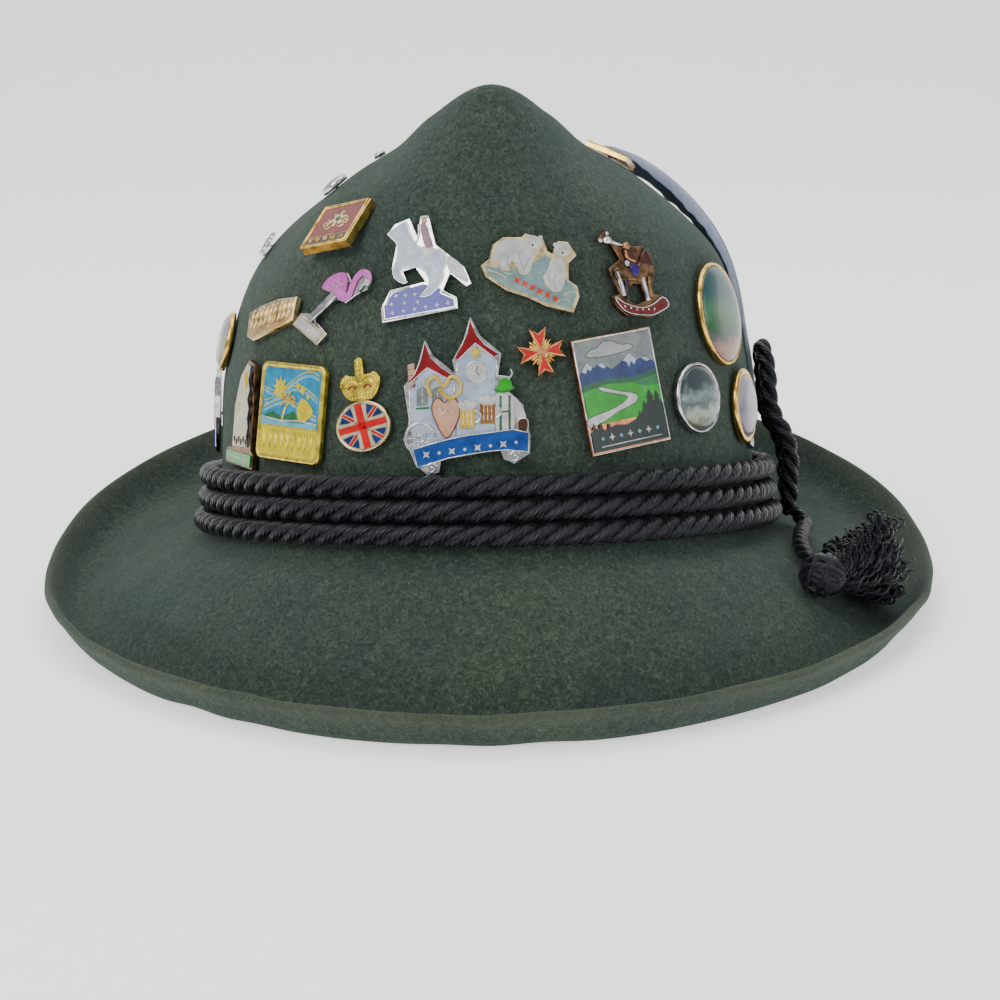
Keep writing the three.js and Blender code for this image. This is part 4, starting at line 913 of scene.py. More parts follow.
def make_felt():
    rows_t = np.interp(np.linspace(0, run[-1], ROWS), run, fine_t)
    azimuths = np.linspace(0, 360, COLUMNS, endpoint=False)
    A, T = np.meshgrid(azimuths, rows_t)
    middle, normal, _, down_up = felt_frame(A, T)
    waves = []
    for _ in range(16):
        direction = rng.normal(size=3)
        direction /= np.linalg.norm(direction)
        waves.append((direction * rng.uniform(0.10, 0.34), rng.random() * 6.28, rng.uniform(0.4, 1.0)))
    relief = sum(strength * np.sin(middle @ k + p) for k, p, strength in waves)
    brim_share = smooth(T, 6.6, 7.6)
    relief = relief * (0.035 + 0.05 * brim_share)
    middle = middle + normal * relief[..., None]
    outer = middle + normal * (FELT / 2)
    inner = middle - normal * (FELT / 2)
    rim_angles = np.linspace(0, math.pi, 7)[1:-1]
    edge_point, edge_normal = middle[-1], normal[-1]
    edge_down = -down_up[-1]
    rim = [edge_point + edge_normal * (math.cos(a) * FELT / 2) + edge_down * (math.sin(a) * FELT / 2)
           for a in rim_angles]
    centre_out = felt_side(np.array([0.0]), np.array([1.0]), np.array([FELT / 2]))
    centre_in = felt_side(np.array([0.0]), np.array([1.0]), np.array([-FELT / 2]))
    skin = np.concatenate([outer, np.array(rim), inner[::-1]], axis=0)
    count_rows = skin.shape[0]
    points = skin.reshape(-1, 3) + SHIFT
    points[:, 2] = np.maximum(points[:, 2], 0.02)
    faces = [tuple(reversed(f)) for f in grid_faces(count_rows, COLUMNS)]
    tops = head_point(np.array([0.0]), np.array([0.0]), np.array([CENTRE_HEIGHT]))[0] + SHIFT
    points = np.vstack([points, tops + [0, 0, FELT / 2], tops - [0, 0, FELT / 2]])
    first, last = len(points) - 2, len(points) - 1
    for j in range(COLUMNS):
        k = (j + 1) % COLUMNS
        faces.append((first, j, k))
        faces.append((last, (count_rows - 1) * COLUMNS + k, (count_rows - 1) * COLUMNS + j))
    felt = grid_object("felt_shell", points, faces, "felt")
    # Painted highlight on the rolled rim: the edge values rise towards the brim's edge on both faces and over
    # the roll, and vary in patches along it.
    edge = np.zeros(len(points))
    rim_highlight_profile = np.concatenate([
        smooth(T[:, 0], 10.35, 11.0) * 0.45, np.full(len(rim), 0.5),
        (smooth(T[:, 0], 10.5, 11.0) * 0.3)[::-1],
    ])
    edge[:count_rows * COLUMNS] = np.repeat(rim_highlight_profile, COLUMNS)
    patchy = 0.75 + 0.25 * np.sin(points[:, 0] * 0.11) * np.sin(points[:, 1] * 0.09 + 1.0)
    attribute = felt.data.attributes.new("edge", "FLOAT", "POINT")
    attribute.data.foreach_set("value", (edge * patchy).astype(np.float32))
    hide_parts("felt_body")


make_felt()

# Nap: short loose fibres that soften the outline
FIBRES = 15000


def make_nap():
    heights = rng.random(FIBRES)
    fibre_t = np.interp(np.sqrt(heights * 0.96 + 0.04) * run[-1], run, fine_t)
    fibre_t = np.where(rng.random(FIBRES) < 0.16, rng.uniform(10.6, 11.0, FIBRES), fibre_t)
    fibre_a = rng.random(FIBRES) * 360
    root, out, along_right, along_up = felt_frame(fibre_a, fibre_t)
    side = np.where(rng.random(FIBRES) < 0.82, 1.0, -1.0)[:, None]
    root = root + out * side * (FELT / 2 - 0.05)
    lean = unit(out * side * rng.uniform(0.25, 0.9, (FIBRES, 1)) + along_right
                * rng.normal(0, 0.7, (FIBRES, 1))
                + along_up * rng.normal(0, 0.7, (FIBRES, 1)))
    size = rng.uniform(0.5, 1.25, (FIBRES, 1))
    bend = unit(np.cross(lean, rng.normal(size=(FIBRES, 3))))
    wide = unit(np.cross(lean, bend)) * 0.026
    mid = root + lean * size * 0.55 + bend * size * 0.12
    tip = root + lean * size * 0.95 + bend * size * 0.42
    fibre_points = np.stack([root - wide, root + wide, mid + wide * 0.8, mid - wide * 0.8, tip],
                            axis=1).reshape(-1, 3) + SHIFT
    fibre_points[:, 2] = np.maximum(fibre_points[:, 2], 0.01)
    fibre_faces = []
    for k in range(FIBRES):
        b = 5 * k
        fibre_faces.append((b, b + 1, b + 2, b + 3))
        fibre_faces.append((b + 3, b + 2, b + 4))
    nap = grid_object("felt_nap", fibre_points, fibre_faces, "nap")
    # Painted highlight: fibres near the brim's edge take the same lighter brownish rim tone as the felt.
    attribute = nap.data.attributes.new("edge", "FLOAT", "POINT")
    attribute.data.foreach_set("value", np.repeat(smooth(fibre_t, 10.3, 11.0) * 0.4, 5).astype(np.float32))


make_nap()

# band, loop
def make_band():
    band_azimuths = np.arange(0, 360, 2.0)
    wrapped = np.abs((band_azimuths + 180) % 360 - 180)
    stations = np.arange(0, 181, 7.5)
    foot = np.interp(wrapped, stations, row_up(stations, 0))
    for row in range(BAND_ROWS):
        up = foot + row * (BAND_ROPE + GAP)
        out = seated_out(band_azimuths, up, BAND_ROPE / 2)
        kernel = np.array([1, 2, 3, 2, 1]) / 9.0
        out = sum(kernel[k] * np.roll(out, k - 2) for k in range(5))
        sag = 0.22 * np.sin(np.radians(band_azimuths * 3 + 70 * row)) * smooth(wrapped, 0, 40)
        centres = head_point(band_azimuths, out, up + 0 * sag) + SHIFT
        a = np.radians(band_azimuths)
        outward = head_point(band_azimuths, np.ones_like(out), 0 * out) - head_point(band_azimuths, 0 * out,
            0 * out)
        rope = Strands()
        twisted(rope, centres, outward, True, BAND_ROPE + 0.1, 20.2, 15, 10, hand=-1.0)
        piece = rope.object(f"band_rope_{row + 1}", "cord")
        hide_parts(f"band_cord_{row + 1}")


make_band()


def make_loop():
    loop_line = catmull(LOOP, True, 6)
    loop_strands = Strands()
    outs = np.tile([1.0, 0.0, 0.05], (len(loop_line), 1))
    twisted(loop_strands, loop_line, outs, True, LOOP_ROPE + 0.1, 16.0, 15, 10, hand=-1.0)
    loop = loop_strands.object("loop_rope", "cord")
    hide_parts("cord_loop")


make_loop()

# feather
FEATHER = [
    (92, 5.4, 0, 0), (92, 5.1, 0, 0), (92.5, 4.75, 0.02, 0.12), (93, 4.4, 0.12, 0.4), (93, 4.1, 0.26, 0.66),
    (91, 3.84, 0.42, 0.88), (86.5, 3.58, 0.56, 1), (79.5, 3.34, 0.68, 1), (70.5, 3.14, 0.74, 0.84),
    (61, 3.02, 0.68, 0.58), (52, 2.96, 0.52, 0.3),
]
FEATHER_WIDTH = 15.0


def make_feather():
    table = np.array(FEATHER, float)
    point, normal, _, _ = felt_frame(table[:, 0], table[:, 1])
    quill = point + normal * (FELT / 2 + QUILL_ROOM - QUILL / 2 - GAP + table[:, 2] * FEATHER_WIDTH
                              * 0.5)[:, None]
    packed = catmull(np.hstack([quill, normal, table[:, 3:4]]), False, 10)
    line, _ = resample(packed, 150, False)
    path, normal, vane = line[:, :3] + SHIFT, unit(line[:, 3:6]), np.clip(line[:, 6], 0, 1)
    tangent = unit(np.gradient(path, axis=0))
    normal = unit(normal - tangent * np.einsum("nc,nc->n", normal, tangent)[:, None])
    side = unit(np.cross(tangent, normal))
    share = np.linspace(0, 1, 150)
    edge_wave = 1 + 0.05 * np.sin(share * 41) + 0.03 * np.sin(share * 97 + 1)
    tip = np.clip((1 - share) / 0.06, 0, 1) ** 0.5
    half = np.maximum(FEATHER_WIDTH / 2 * vane * edge_wave * tip, 0.05)
    across_places = np.linspace(-1, 1, 25)
    top, under, uvs = [], [], []
    lengths = share * 110
    for i in range(150):
        ripple = 0.10 * np.sin(share[i] * 120 + np.abs(across_places) * 9)
        x = across_places * half[i]
        y = -half[i] * VANE_DROOP * across_places ** 2 + ripple * np.abs(across_places)
        ahead = np.abs(across_places) * half[i] * 0.5
        base = path[i] + side[i] * x[:, None] + normal[i] * y[:, None] + tangent[i] * ahead[:, None]
        top.append(base + normal[i] * 0.14)
        under.append(base - normal[i] * 0.14)
        uvs.append(np.stack([np.full(25, lengths[i]), across_places * half[i] / 7.5], axis=1))
    vanes = Strands()
    ring = np.array([np.vstack([t, u[::-1]]) for t, u in zip(top, under)])
    ring_uv = np.array([np.vstack([u, u[::-1]]) for u in uvs])
    vanes.add(ring.reshape(-1, 3), grid_faces(150, 50), ring_uv.reshape(-1, 2))
    feather = vanes.object("feather_vane", "feather")
    shaft = Strands()
    shaft.add(*tube(path, normal, QUILL / 2 * (1 - 0.62 * share) * np.where(share > 0.985, 0.3, 1), 10,
                    False))
    quill_piece = shaft.object("feather_quill", "quill")
    for piece in (feather, quill_piece):
        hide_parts("feather")


make_feather()

# pins
PIN_SIZE, CLUTCH_RADIUS = 30.0, 3.0
# Pins: azimuth, along, width and height as shares of PIN_SIZE, turn and tip in degrees
PINS = {
    "red_frame": (-31, 4.08, 0.66, 0.56, -6, 12), "horse": (-11, 4.45, 0.93, 1.01, 0, 0),
    "bears": (7, 4.5, 0.94, 0.77, 0, 0), "rider": (27, 4.45, 0.87, 0.83, 0, 0),
    "picture": (-37, 5.3, 0.97, 0.95, -5, 0), "crown_flag": (-21, 5.25, 0.61, 0.91, 9, 0),
    "towers": (-3, 5.2, 1.2, 1.5, 0, 0), "cross": (9, 4.95, 0.48, 0.48, 8, 0),
    "landscape": (23, 5.2, 0.91, 1.1, 7, 0), "dome_green": (55, 4.65, 1.04, 1.04, 4, 0),
    "dome_silver": (42, 5.25, 0.75, 0.7, 8, 0), "dome_gold": (64, 5.3, 0.78, 0.76, 8, 0),
    "stud": (70, 5.53, 0.13, 0.13, 0, 0), "flamingo": (-28, 4.6, 1.08, 0.83, 0, 0),
    "relief": (-46, 4.66, 0.94, 0.36, 4, 0), "disc_side": (-77, 4.78, 0.62, 0.62, 0, 0),
    "bottle": (-55, 5.3, 0.7, 1.1, -2, 0), "shield_side": (-85, 5.3, 0.56, 0.84, -8, 0),
    "chain": (-70, 3.95, 0.4, 0.2, -30, 0), "disc_top": (-52, 3.45, 0.3, 0.3, 0, 0),
    "bead": (-42, 3.12, 0.13, 0.13, 0, 0), "square_top": (47, 3.12, 0.46, 0.46, 20, 0),
}


def spun(tip, turn):
    """Rotation of a pin's plate: tipped back and then turned in its own plane."""
    back, round_ = math.radians(-tip), math.radians(turn)
    tipped = np.array([[1, 0, 0], [0, math.cos(back), -math.sin(back)], [0, math.sin(back), math.cos(back)]])
    turned = np.array([[math.cos(round_), -math.sin(round_), 0], [math.sin(round_), math.cos(round_), 0],
                       [0, 0, 1]])
    return tipped @ turned


def pin_seat(key):
    """Pose of a pin's plate on the felt, and the depth of its clutch under it."""
    azimuth, along, width, height, turn, tip = PINS[key]
    point, normal, right, up = felt_frame(azimuth, along)
    origin = point + normal * FELT / 2
    axes = np.stack([right, up, normal], axis=1) @ spun(tip, turn)
    around, down = np.meshgrid(np.arange(-26.0, 27.0, 2.0), np.arange(-1.2, 1.2, 0.08))
    near, out, _, _ = felt_frame(azimuth + around, np.clip(along + down, 1.2, 7.0))
    skin = (near + out * FELT / 2 - origin) @ axes
    back = (near - out * FELT / 2 - origin) @ axes
    under = (np.abs(skin[..., 0]) <= width * PIN_SIZE / 2 + 1) & (np.abs(skin[..., 1]) <= height * PIN_SIZE
        / 2 + 1)
    depth = -back[..., 2]
    close = (np.hypot(back[..., 0], back[..., 1]) <= CLUTCH_RADIUS + 2) & (depth < FELT * 3)
    lift = max(skin[..., 2][under].max(), 0.0) + GAP + 0.1
    deep = max(depth[close].max(), FELT) + GAP + 2 * FACET_ROOM
    pose = np.eye(4)
    pose[:3, :3] = axes
    pose[:3, 3] = origin + axes[:, 2] * lift + SHIFT
    return pose, lift + deep


THICK = 1.6


def inset(points, amount):
    """Polygon with each corner moved inward by an amount."""
    p = np.asarray(points, float)
    area = 0.5 * np.sum(p[:, 0] * np.roll(p[:, 1], -1) - np.roll(p[:, 0], -1) * p[:, 1])
    turn = 1.0 if area > 0 else -1.0
    ahead = unit(np.roll(p, -1, axis=0) - p)
    behind = unit(p - np.roll(p, 1, axis=0))
    n1 = np.stack([-ahead[:, 1], ahead[:, 0]], axis=1) * turn
    n2 = np.stack([-behind[:, 1], behind[:, 0]], axis=1) * turn
    both = unit(n1 + n2)
    cosine = np.clip(np.einsum("nc,nc->n", both, n1), 0.45, 1.0)
    return p + both * (amount / cosine)[:, None]


def rounded(points, per=3, closed=True):
    return catmull(np.asarray(points, float), closed, per)[:, :2]


def oval(x, y, rx, ry, count=28, turn=0.0):
    a = np.linspace(0, 2 * math.pi, count, endpoint=False)
    c, s = math.cos(turn), math.sin(turn)
    px, py = rx * np.cos(a), ry * np.sin(a)
    return np.stack([x + c * px - s * py, y + s * px + c * py], axis=1)


class Pin(Builder):
    """Plate, enamel and wire in the pin's own millimetres; z points out of the felt."""

    def __init__(self, key, top=THICK):
        super().__init__()
        self.key = key
        self.top = top
        self.hx, self.hy = PINS[key][2] * PIN_SIZE / 2, PINS[key][3] * PIN_SIZE / 2
        self.matrix, self.deep = pin_seat(key)
        self.post(0.6, -self.deep - 2.4, 0.4)

    def share(self, points):
        return np.asarray(points, float) * [self.hx, self.hy]

    def post(self, radius, low, high):
        a = np.linspace(0, 2 * math.pi, 10, endpoint=False)
        ring = np.stack([np.cos(a) * radius, np.sin(a) * radius], axis=1)
        points = [(x, y, low) for x, y in ring] + [(x, y, high) for x, y in ring] + [(0, 0, low - 0.5)]
        faces = grid_faces(2, 10) + [(20, (j + 1) % 10, j) for j in range(10)]
        self.add(points, faces, "silver", True)

    def slab(self, outline, low, high, name, bevel=0.1, holes=(), side=None):
        """Flat plate with a bevelled edge between two heights."""
        loops = [np.asarray(outline, float)] + [np.asarray(h, float) for h in holes]
        loops = [self.wound(loop, k == 0) for k, loop in enumerate(loops)]
        rings_low, rings_mid, rings_top = [], [], []
        for k, loop in enumerate(loops):
            moved = inset(loop, bevel if k == 0 else -bevel)
            rings_low.append([(x, y, low) for x, y in loop])
            rings_mid.append([(x, y, high - bevel) for x, y in loop])
            rings_top.append([(x, y, high) for x, y in moved])
        for low_ring, mid_ring, top_ring in zip(rings_low, rings_mid, rings_top):
            count = len(low_ring)
            self.add(low_ring + mid_ring, grid_faces(2, count), side or name)
            self.add(mid_ring + top_ring, grid_faces(2, count), side or name)
        for rings, flip, kind in ((rings_top, False, name), (rings_low, True, side or name)):
            flat = [Vector(p) for ring in rings for p in ring]
            triangles = tessellate_polygon([[Vector(p) for p in ring] for ring in rings])
            faces = []
            for a, b, c in triangles:
                n = (flat[b] - flat[a]).cross(flat[c] - flat[a]).z
                if abs(n) < 1e-9:
                    continue
                order = (a, b, c) if (n > 0) != flip else (a, c, b)
                faces.append(order)
            self.add([tuple(p) for p in flat], faces, kind)

    @staticmethod
    def wound(loop, positive):
        area = np.sum(loop[:, 0] * np.roll(loop[:, 1], -1) - np.roll(loop[:, 0], -1) * loop[:, 1])
        return loop if (area > 0) == positive else loop[::-1]

    def plate(self, outline, name="gold", high=None, bevel=0.14, holes=()):
        self.slab(outline, 0.0, self.top - 0.1 if high is None else high, name, bevel, holes)

    def fill(self, outline, name, level=0, thick=0.14, bevel=0.05, holes=()):
        base = self.top - 0.16 + 0.07 * level
        self.slab(outline, base, base + thick, name, bevel, holes)

    def wire(self, points, width, name="gold", level=0, closed=False, high=0.2):
        """Rounded metal line along points."""
        p = np.asarray(points, float)
        count = len(p)
        if closed:
            tangent = unit(np.roll(p, -1, axis=0) - np.roll(p, 1, axis=0))
        else:
            tangent = unit(np.gradient(p, axis=0))
        n = np.stack([-tangent[:, 1], tangent[:, 0]], axis=1)
        base = self.top - 0.16 + 0.07 * level
        shape = [(-0.5, 0.0), (-0.42, 0.7), (-0.18, 1.0), (0.18, 1.0), (0.42, 0.7), (0.5, 0.0)]
        rows = []
        for i in range(count):
            for x, y in shape:
                rows.append((p[i, 0] + n[i, 0] * x * width, p[i, 1] + n[i, 1] * x * width, base + y * high))
        faces = []
        spans = count if closed else count - 1
        for i in range(spans):
            k = (i + 1) % count
            for j in range(5):
                faces.append((i * 6 + j, i * 6 + j + 1, k * 6 + j + 1, k * 6 + j)[::-1])
        if not closed:
            faces.append(tuple(range(6)))
            faces.append(tuple(range((count - 1) * 6, count * 6))[::-1])
        self.add(rows, faces, name, True)

    def dot(self, x, y, radius, name, level=0, rise=None, squash=1.0):
        rise = radius * 0.6 if rise is None else rise
        base = self.top - 0.16 + 0.07 * level
        rows = []
        for up, out in ((0.0, 1.0), (0.6, 0.86), (0.9, 0.5)):
            a = np.linspace(0, 2 * math.pi, 14, endpoint=False)
            rows += [(x + radius * out * math.cos(v), y + radius * squash * out * math.sin(v),
                      base + rise * up) for v in a]
        rows.append((x, y, base + rise))
        faces = grid_faces(3, 14) + [(28 + j, 28 + (j + 1) % 14, 42) for j in range(14)]
        self.add(rows, faces, name, True)

    def dome(self, rx, ry, low, rise, name, rings=9, count=48):
        rows, uvs = [], []
        a = np.linspace(0, 2 * math.pi, count, endpoint=False)
        for i in range(rings):
            s = i / rings
            out = math.cos(s * math.pi / 2) ** 0.62
            rows += [(rx * out * math.cos(v), ry * out * math.sin(v),
                      low + rise * math.sin(s * math.pi / 2)) for v in a]
        rows.append((0, 0, low + rise))
        uvs = [(0.5 + 0.5 * x / rx, 0.5 + 0.5 * y / ry) for x, y, _ in rows]
        faces = grid_faces(rings, count) + [((rings - 1) * count + j, (rings - 1) * count + (j + 1) % count,
                                             rings * count) for j in range(count)]
        self.add(rows, faces, name, True, uvs)

    def lathe(self, profile, rx, ry, name, count=48):
        a = np.linspace(0, 2 * math.pi, count, endpoint=False)
        rows = []
        for out, z in profile:
            rows += [((rx + out) * math.cos(v), (ry + out) * math.sin(v), z) for v in a]
        self.add(rows, grid_faces(len(profile), count), name, True)

    def done(self, slot):
        made = self.object("pin_" + self.key + "_made", self.matrix)
        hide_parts("pin_" + self.key)
        return made


def rim_pin(key, rim, picture, wide, rise):
    pin = Pin(key)
    hx, hy = pin.hx, pin.hy
    pin.lathe([
        (-wide - 3, 0.0), (-0.25, 0.0), (0.0, 0.25), (0.0, 1.2), (-0.2, 1.75), (-wide * 0.5, 2.0),
        (-wide + 0.15, 1.8), (-wide, 1.3),
    ], hx, hy, rim)
    pin.dome(hx - wide + 0.05, hy - wide + 0.05, 1.35, rise, picture)
    return pin


BOX = [(-1, -1), (1, -1), (1, 1), (-1, 1)]
HORSE = [
    (-0.78, 0.72), (-0.61, 0.9), (-0.29, 0.99), (-0.13, 0.63), (-0.06, 1), (0.12, 1),
    (0.26, 0.43), (0.6, 0.16), (0.86, -0.05), (1, -0.37), (0.88, -0.42), (0.55, -0.14),
    (0.4, -0.45), (0.68, -0.6), (0.7, -0.82), (-0.9, -0.97), (-0.93, -0.68),
    (-0.73, -0.36), (0.02, -0.25), (-0.19, 0.03), (-0.45, -0.02), (-0.34, -0.26),
    (-0.64, -0.12), (-0.69, 0.06), (-0.57, 0.56),
]
BEARS = [
    (-1, 0.17), (-0.84, 0.33), (-0.77, 0.68), (-0.55, 0.89), (-0.18, 0.91), (-0.1, 1),
    (0.25, 0.91), (0.35, 0.59), (0.45, 0.52), (0.56, 0.85), (0.77, 0.83), (0.94, 0.52),
    (0.78, 0.31), (0.78, -0.11), (0.96, -0.25), (1, -0.5), (0.87, -0.91), (0.33, -0.78),
    (-0.09, -0.56), (-0.49, -0.42), (-0.91, -0.1),
]
RIDER = [
    (-1, 0.68), (-0.74, 0.97), (-0.56, 0.75), (-0.17, 0.63), (0.31, 0.69), (0.55, 0.49),
    (0.63, 0.15), (0.48, -0.4), (0.78, -0.44), (0.98, -0.67), (0.39, -0.99),
    (-0.28, -1), (-0.55, -0.82), (-0.67, -0.6), (-0.43, -0.52), (-0.72, 0.04),
    (-0.37, 0.31), (-0.62, 0.65),
]
RIDER_WINDOW = [(-0.18, -0.38), (-0.16, -0.66), (0.04, -0.73), (0.31, -0.59), (0.2, -0.22), (-0.02, -0.22)]
TOWERS = [
    (-0.99, 0.14), (-0.8, 0.32), (-0.66, 0.72), (-0.52, 0.5), (-0.19, 0.29),
    (-0.23, 0.45), (-0.06, 0.7), (0.05, 1), (0.21, 0.75), (0.53, 0.53), (0.48, 0.26),
    (0.66, 0.24), (0.64, 0.06), (0.87, -0.11), (0.98, -0.49), (0.97, -0.72),
    (0.73, -0.85), (0.56, -0.79), (0.51, -0.68), (-0.42, -0.8), (-0.44, -0.95),
    (-0.63, -0.98), (-0.8, -0.87), (-0.88, -0.71), (-1, -0.53), (-0.91, -0.29),
]
FLAMINGO = [
    (-0.35, 0.35), (-0.09, 0.65), (0.22, 0.64), (0.38, 0.31), (0.57, 0.61), (0.78, 0.49),
    (0.71, 0.2), (0.46, 0.09), (0.22, -0.07), (-0.02, 0.05), (-0.5, -0.37),
    (-0.17, -0.76), (-0.39, -1), (-1, -0.44), (-0.82, -0.19), (-0.6, -0.24),
    (-0.15, 0.21),
]
BOTTLE = [
    (-0.57, -0.62), (-0.46, 0.19), (-0.08, 0.73), (0.45, 0.98), (0.89, 0.89),
    (0.9, 0.18), (0.81, -0.65), (1, -0.72), (0.96, -1), (-0.98, -0.9), (-0.95, -0.62),
]
RELIEF = [(-1, -0.62), (-1, 0.7), (-0.6, 0.9), (0.15, 1), (0.95, 0.8), (0.85, -0.5), (-0.7, -1)]
SHIELD = [(-0.9, 1), (0.9, 1), (1, 0), (0.6, -0.8), (0, -1), (-0.6, -0.8), (-1, 0)]
CROWN_TOP = [
    (-0.36, 0.09), (-0.66, 0.32), (-0.72, 0.52), (-0.5, 0.66), (-0.16, 0.6), (-0.14, 0.95),
    (0.14, 0.95), (0.16, 0.6), (0.5, 0.66), (0.72, 0.52), (0.66, 0.32), (0.36, 0.09),
]


def arc(x, y, radius, start, end, count=14):
    a = np.radians(np.linspace(start, end, count))
    return np.stack([x + radius * np.cos(a), y + radius * np.sin(a)], axis=1)


def spiral(x, y, radius, turns, start=0.0, count=26):
    s = np.linspace(0, 1, count)
    a = start + s * turns * 2 * math.pi
    return np.stack([x + radius * (1 - 0.82 * s) * np.cos(a), y + radius * (1 - 0.82 * s) * np.sin(a)],
                    axis=1)


def star(x, y, outer, inner, points, turn=0.0):
    a = turn + np.arange(points * 2) * math.pi / points
    r = np.where(np.arange(points * 2) % 2 == 0, outer, inner)
    return np.stack([x + r * np.cos(a), y + r * np.sin(a)], axis=1)


def round_box(hx, hy, radius, count=6):
    rows = []
    for cx, cy, start in ((1, 1, 0), (-1, 1, 90), (-1, -1, 180), (1, -1, 270)):
        rows.append(arc(cx * (hx - radius), cy * (hy - radius), radius, start, start + 90, count))
    return np.vstack(rows)


def pin_red_frame():
    pin = Pin("red_frame", 2.7)
    box = pin.share(BOX)
    pin.plate(box, "gold", bevel=0.25)
    x, y = pin.hx - 1.15, pin.hy - 1.15
    strip = -y + 3.1
    pin.fill([(-x, strip), (x, strip), (x, y), (-x, y)], "dark_red")
    pin.fill([(-x, -y), (x, -y), (x, strip - 0.35), (-x, strip - 0.35)], "black")
    pin.wire(inset(box, 0.55), 1.0, "gold", closed=True, high=0.55)
    for k in range(6):
        a = k * math.pi / 3 + 0.3
        pin.fill(oval(0.4 + 2.0 * math.cos(a), 1.7 + 1.9 * math.sin(a), 1.35, 0.75, 14, a), "pale_gold", 1,
                 0.3, 0.1)
    pin.dot(0.4, 1.7, 1.05, "mid_green", 2)
    for side in (-1, 1):
        pin.wire(spiral(0.4 + side * 4.4, 0.4, 1.5, side * 1.25, math.pi / 2), 0.4, "pale_gold", 1, high=0.35)
        pin.wire([(0.4 + side * 1.2, -1.3), (0.4 + side * 2.8, -1.9), (0.4 + side * 4.3, -1.2)], 0.45,
                 "pale_gold", 1, high=0.35)
    for k in range(5):
        cx = (k - 2) * 3.3
        pin.wire(spiral(cx, strip - 1.75, 1.0, 1.2, k * 0.9, 18), 0.34, "gold", 1, high=0.3)
    for k in range(4):
        pin.dot((k - 1.5) * 3.3, strip - 1.2, 0.28, "gold", 1)
    pin.done("red_enamel")


def pin_horse():
    pin = Pin("horse")
    pin.plate(pin.share(HORSE), "silver")
    blue = pin.share([(-0.84, -0.9), (0.63, -0.77), (0.62, -0.64), (0.33, -0.5), (0.36, -0.42),
                      (-0.02, -0.3), (-0.66, -0.41), (-0.86, -0.68)])
    pin.fill(blue, "royal")
    pin.wire(pin.share([(-0.87, -0.93), (0.66, -0.8), (0.65, -0.62), (0.36, -0.47)]), 0.55, "silver", 1)
    pin.wire(pin.share([(-0.87, -0.93), (-0.9, -0.67), (-0.8, -0.63), (-0.71, -0.39), (-0.3, -0.33)]), 0.6,
             "white", 1)
    for row, (left, right, y) in enumerate([(-0.68, 0.5, -0.8), (-0.7, -0.14, -0.63), (-0.6, -0.2, -0.48)]):
        count = 6 if row == 0 else 3
        for k in range(count):
            x = left + (right - left) * k / (count - 1)
            pin.fill(star(x * pin.hx, (y + 0.02 * k * (row == 0)) * pin.hy, 0.8, 0.32, 4, 0.2), "white", 1,
                     0.16)
    body = [
        (-0.74, 0.73), (-0.6, 0.83), (-0.36, 0.93), (-0.3, 0.74), (-0.18, 0.52), (0.0, 0.38), (0.33, 0.34),
        (0.5, 0.18), (0.42, -0.06), (0.36, -0.3), (0.14, -0.52), (-0.1, -0.53), (0.1, -0.36), (0.08, -0.16),
        (-0.06, 0.0), (-0.3, 0.04), (-0.5, 0.0), (-0.44, -0.14), (-0.37, -0.22), (-0.44, -0.26),
        (-0.62, -0.14), (-0.66, 0.04),
        (-0.58, 0.22), (-0.56, 0.5), (-0.66, 0.62),
    ]
    pin.fill(rounded(pin.share(body), 2), "sky_white", 2, 0.22, 0.08)
    pin.wire(rounded(pin.share(body), 2), 0.36, "silver", 3, True, 0.16)
    tail = [(0.5, 0.2), (0.66, 0.12), (0.82, -0.04), (0.93, -0.3), (0.86, -0.33), (0.72, -0.24),
            (0.58, -0.14), (0.5, 0.0)]
    pin.fill(rounded(pin.share(tail), 2), "white", 2, 0.2)
    for k in range(4):
        end = (0.92 - 0.12 * k, -0.32 + 0.05 * k)
        pin.wire(rounded(pin.share([(0.53, 0.12 - 0.03 * k), (0.7 - 0.05 * k, 0.0), end]), 4, False), 0.22,
                 "silver", 4, high=0.14)
    pin.wire(pin.share([(-0.05, 0.36), (-0.03, 0.2), (-0.06, 0.05)]), 0.2, "silver", 4, high=0.12)
    pin.wire(rounded(pin.share([(0.1, 0.12), (0.22, 0.0), (0.2, -0.2), (0.12, -0.36)]), 4, False), 0.2,
             "silver", 4, high=0.12)
    pin.wire(pin.share([(-0.3, 0.08), (-0.32, 0.3), (-0.22, 0.46)]), 0.2, "silver", 4, high=0.12)
    pin.dot(-0.56 * pin.hx, 0.76 * pin.hy, 0.26, "black", 4, 0.1)
    pin.dot(-0.7 * pin.hx, 0.68 * pin.hy, 0.18, "black", 4, 0.1)
    coat = [(-0.06, 0.84), (0.06, 0.84), (0.12, 0.66), (0.2, 0.4), (0.06, 0.38), (-0.02, 0.58)]
    pin.fill(rounded(pin.share(coat), 2), "mauve", 4, 0.2)
    pin.fill(rounded(pin.share([(-0.02, 0.42), (0.18, 0.4), (0.26, 0.3), (0.1, 0.22), (-0.06, 0.28)]), 2),
             "white", 4, 0.18)
    pin.wire(rounded(pin.share([(-0.1, 0.84), (-0.1, 0.64), (-0.16, 0.5)]), 4, False), 0.5, "silver", 4)
    pin.dot(0.02 * pin.hx, 0.91 * pin.hy, 0.85, "skin", 4, 0.3)
    pin.fill(pin.share([(-0.06, 0.96), (0.12, 0.96), (0.09, 1.0), (-0.04, 1.0)]), "white", 6, 0.2)
    pin.done("white_enamel")


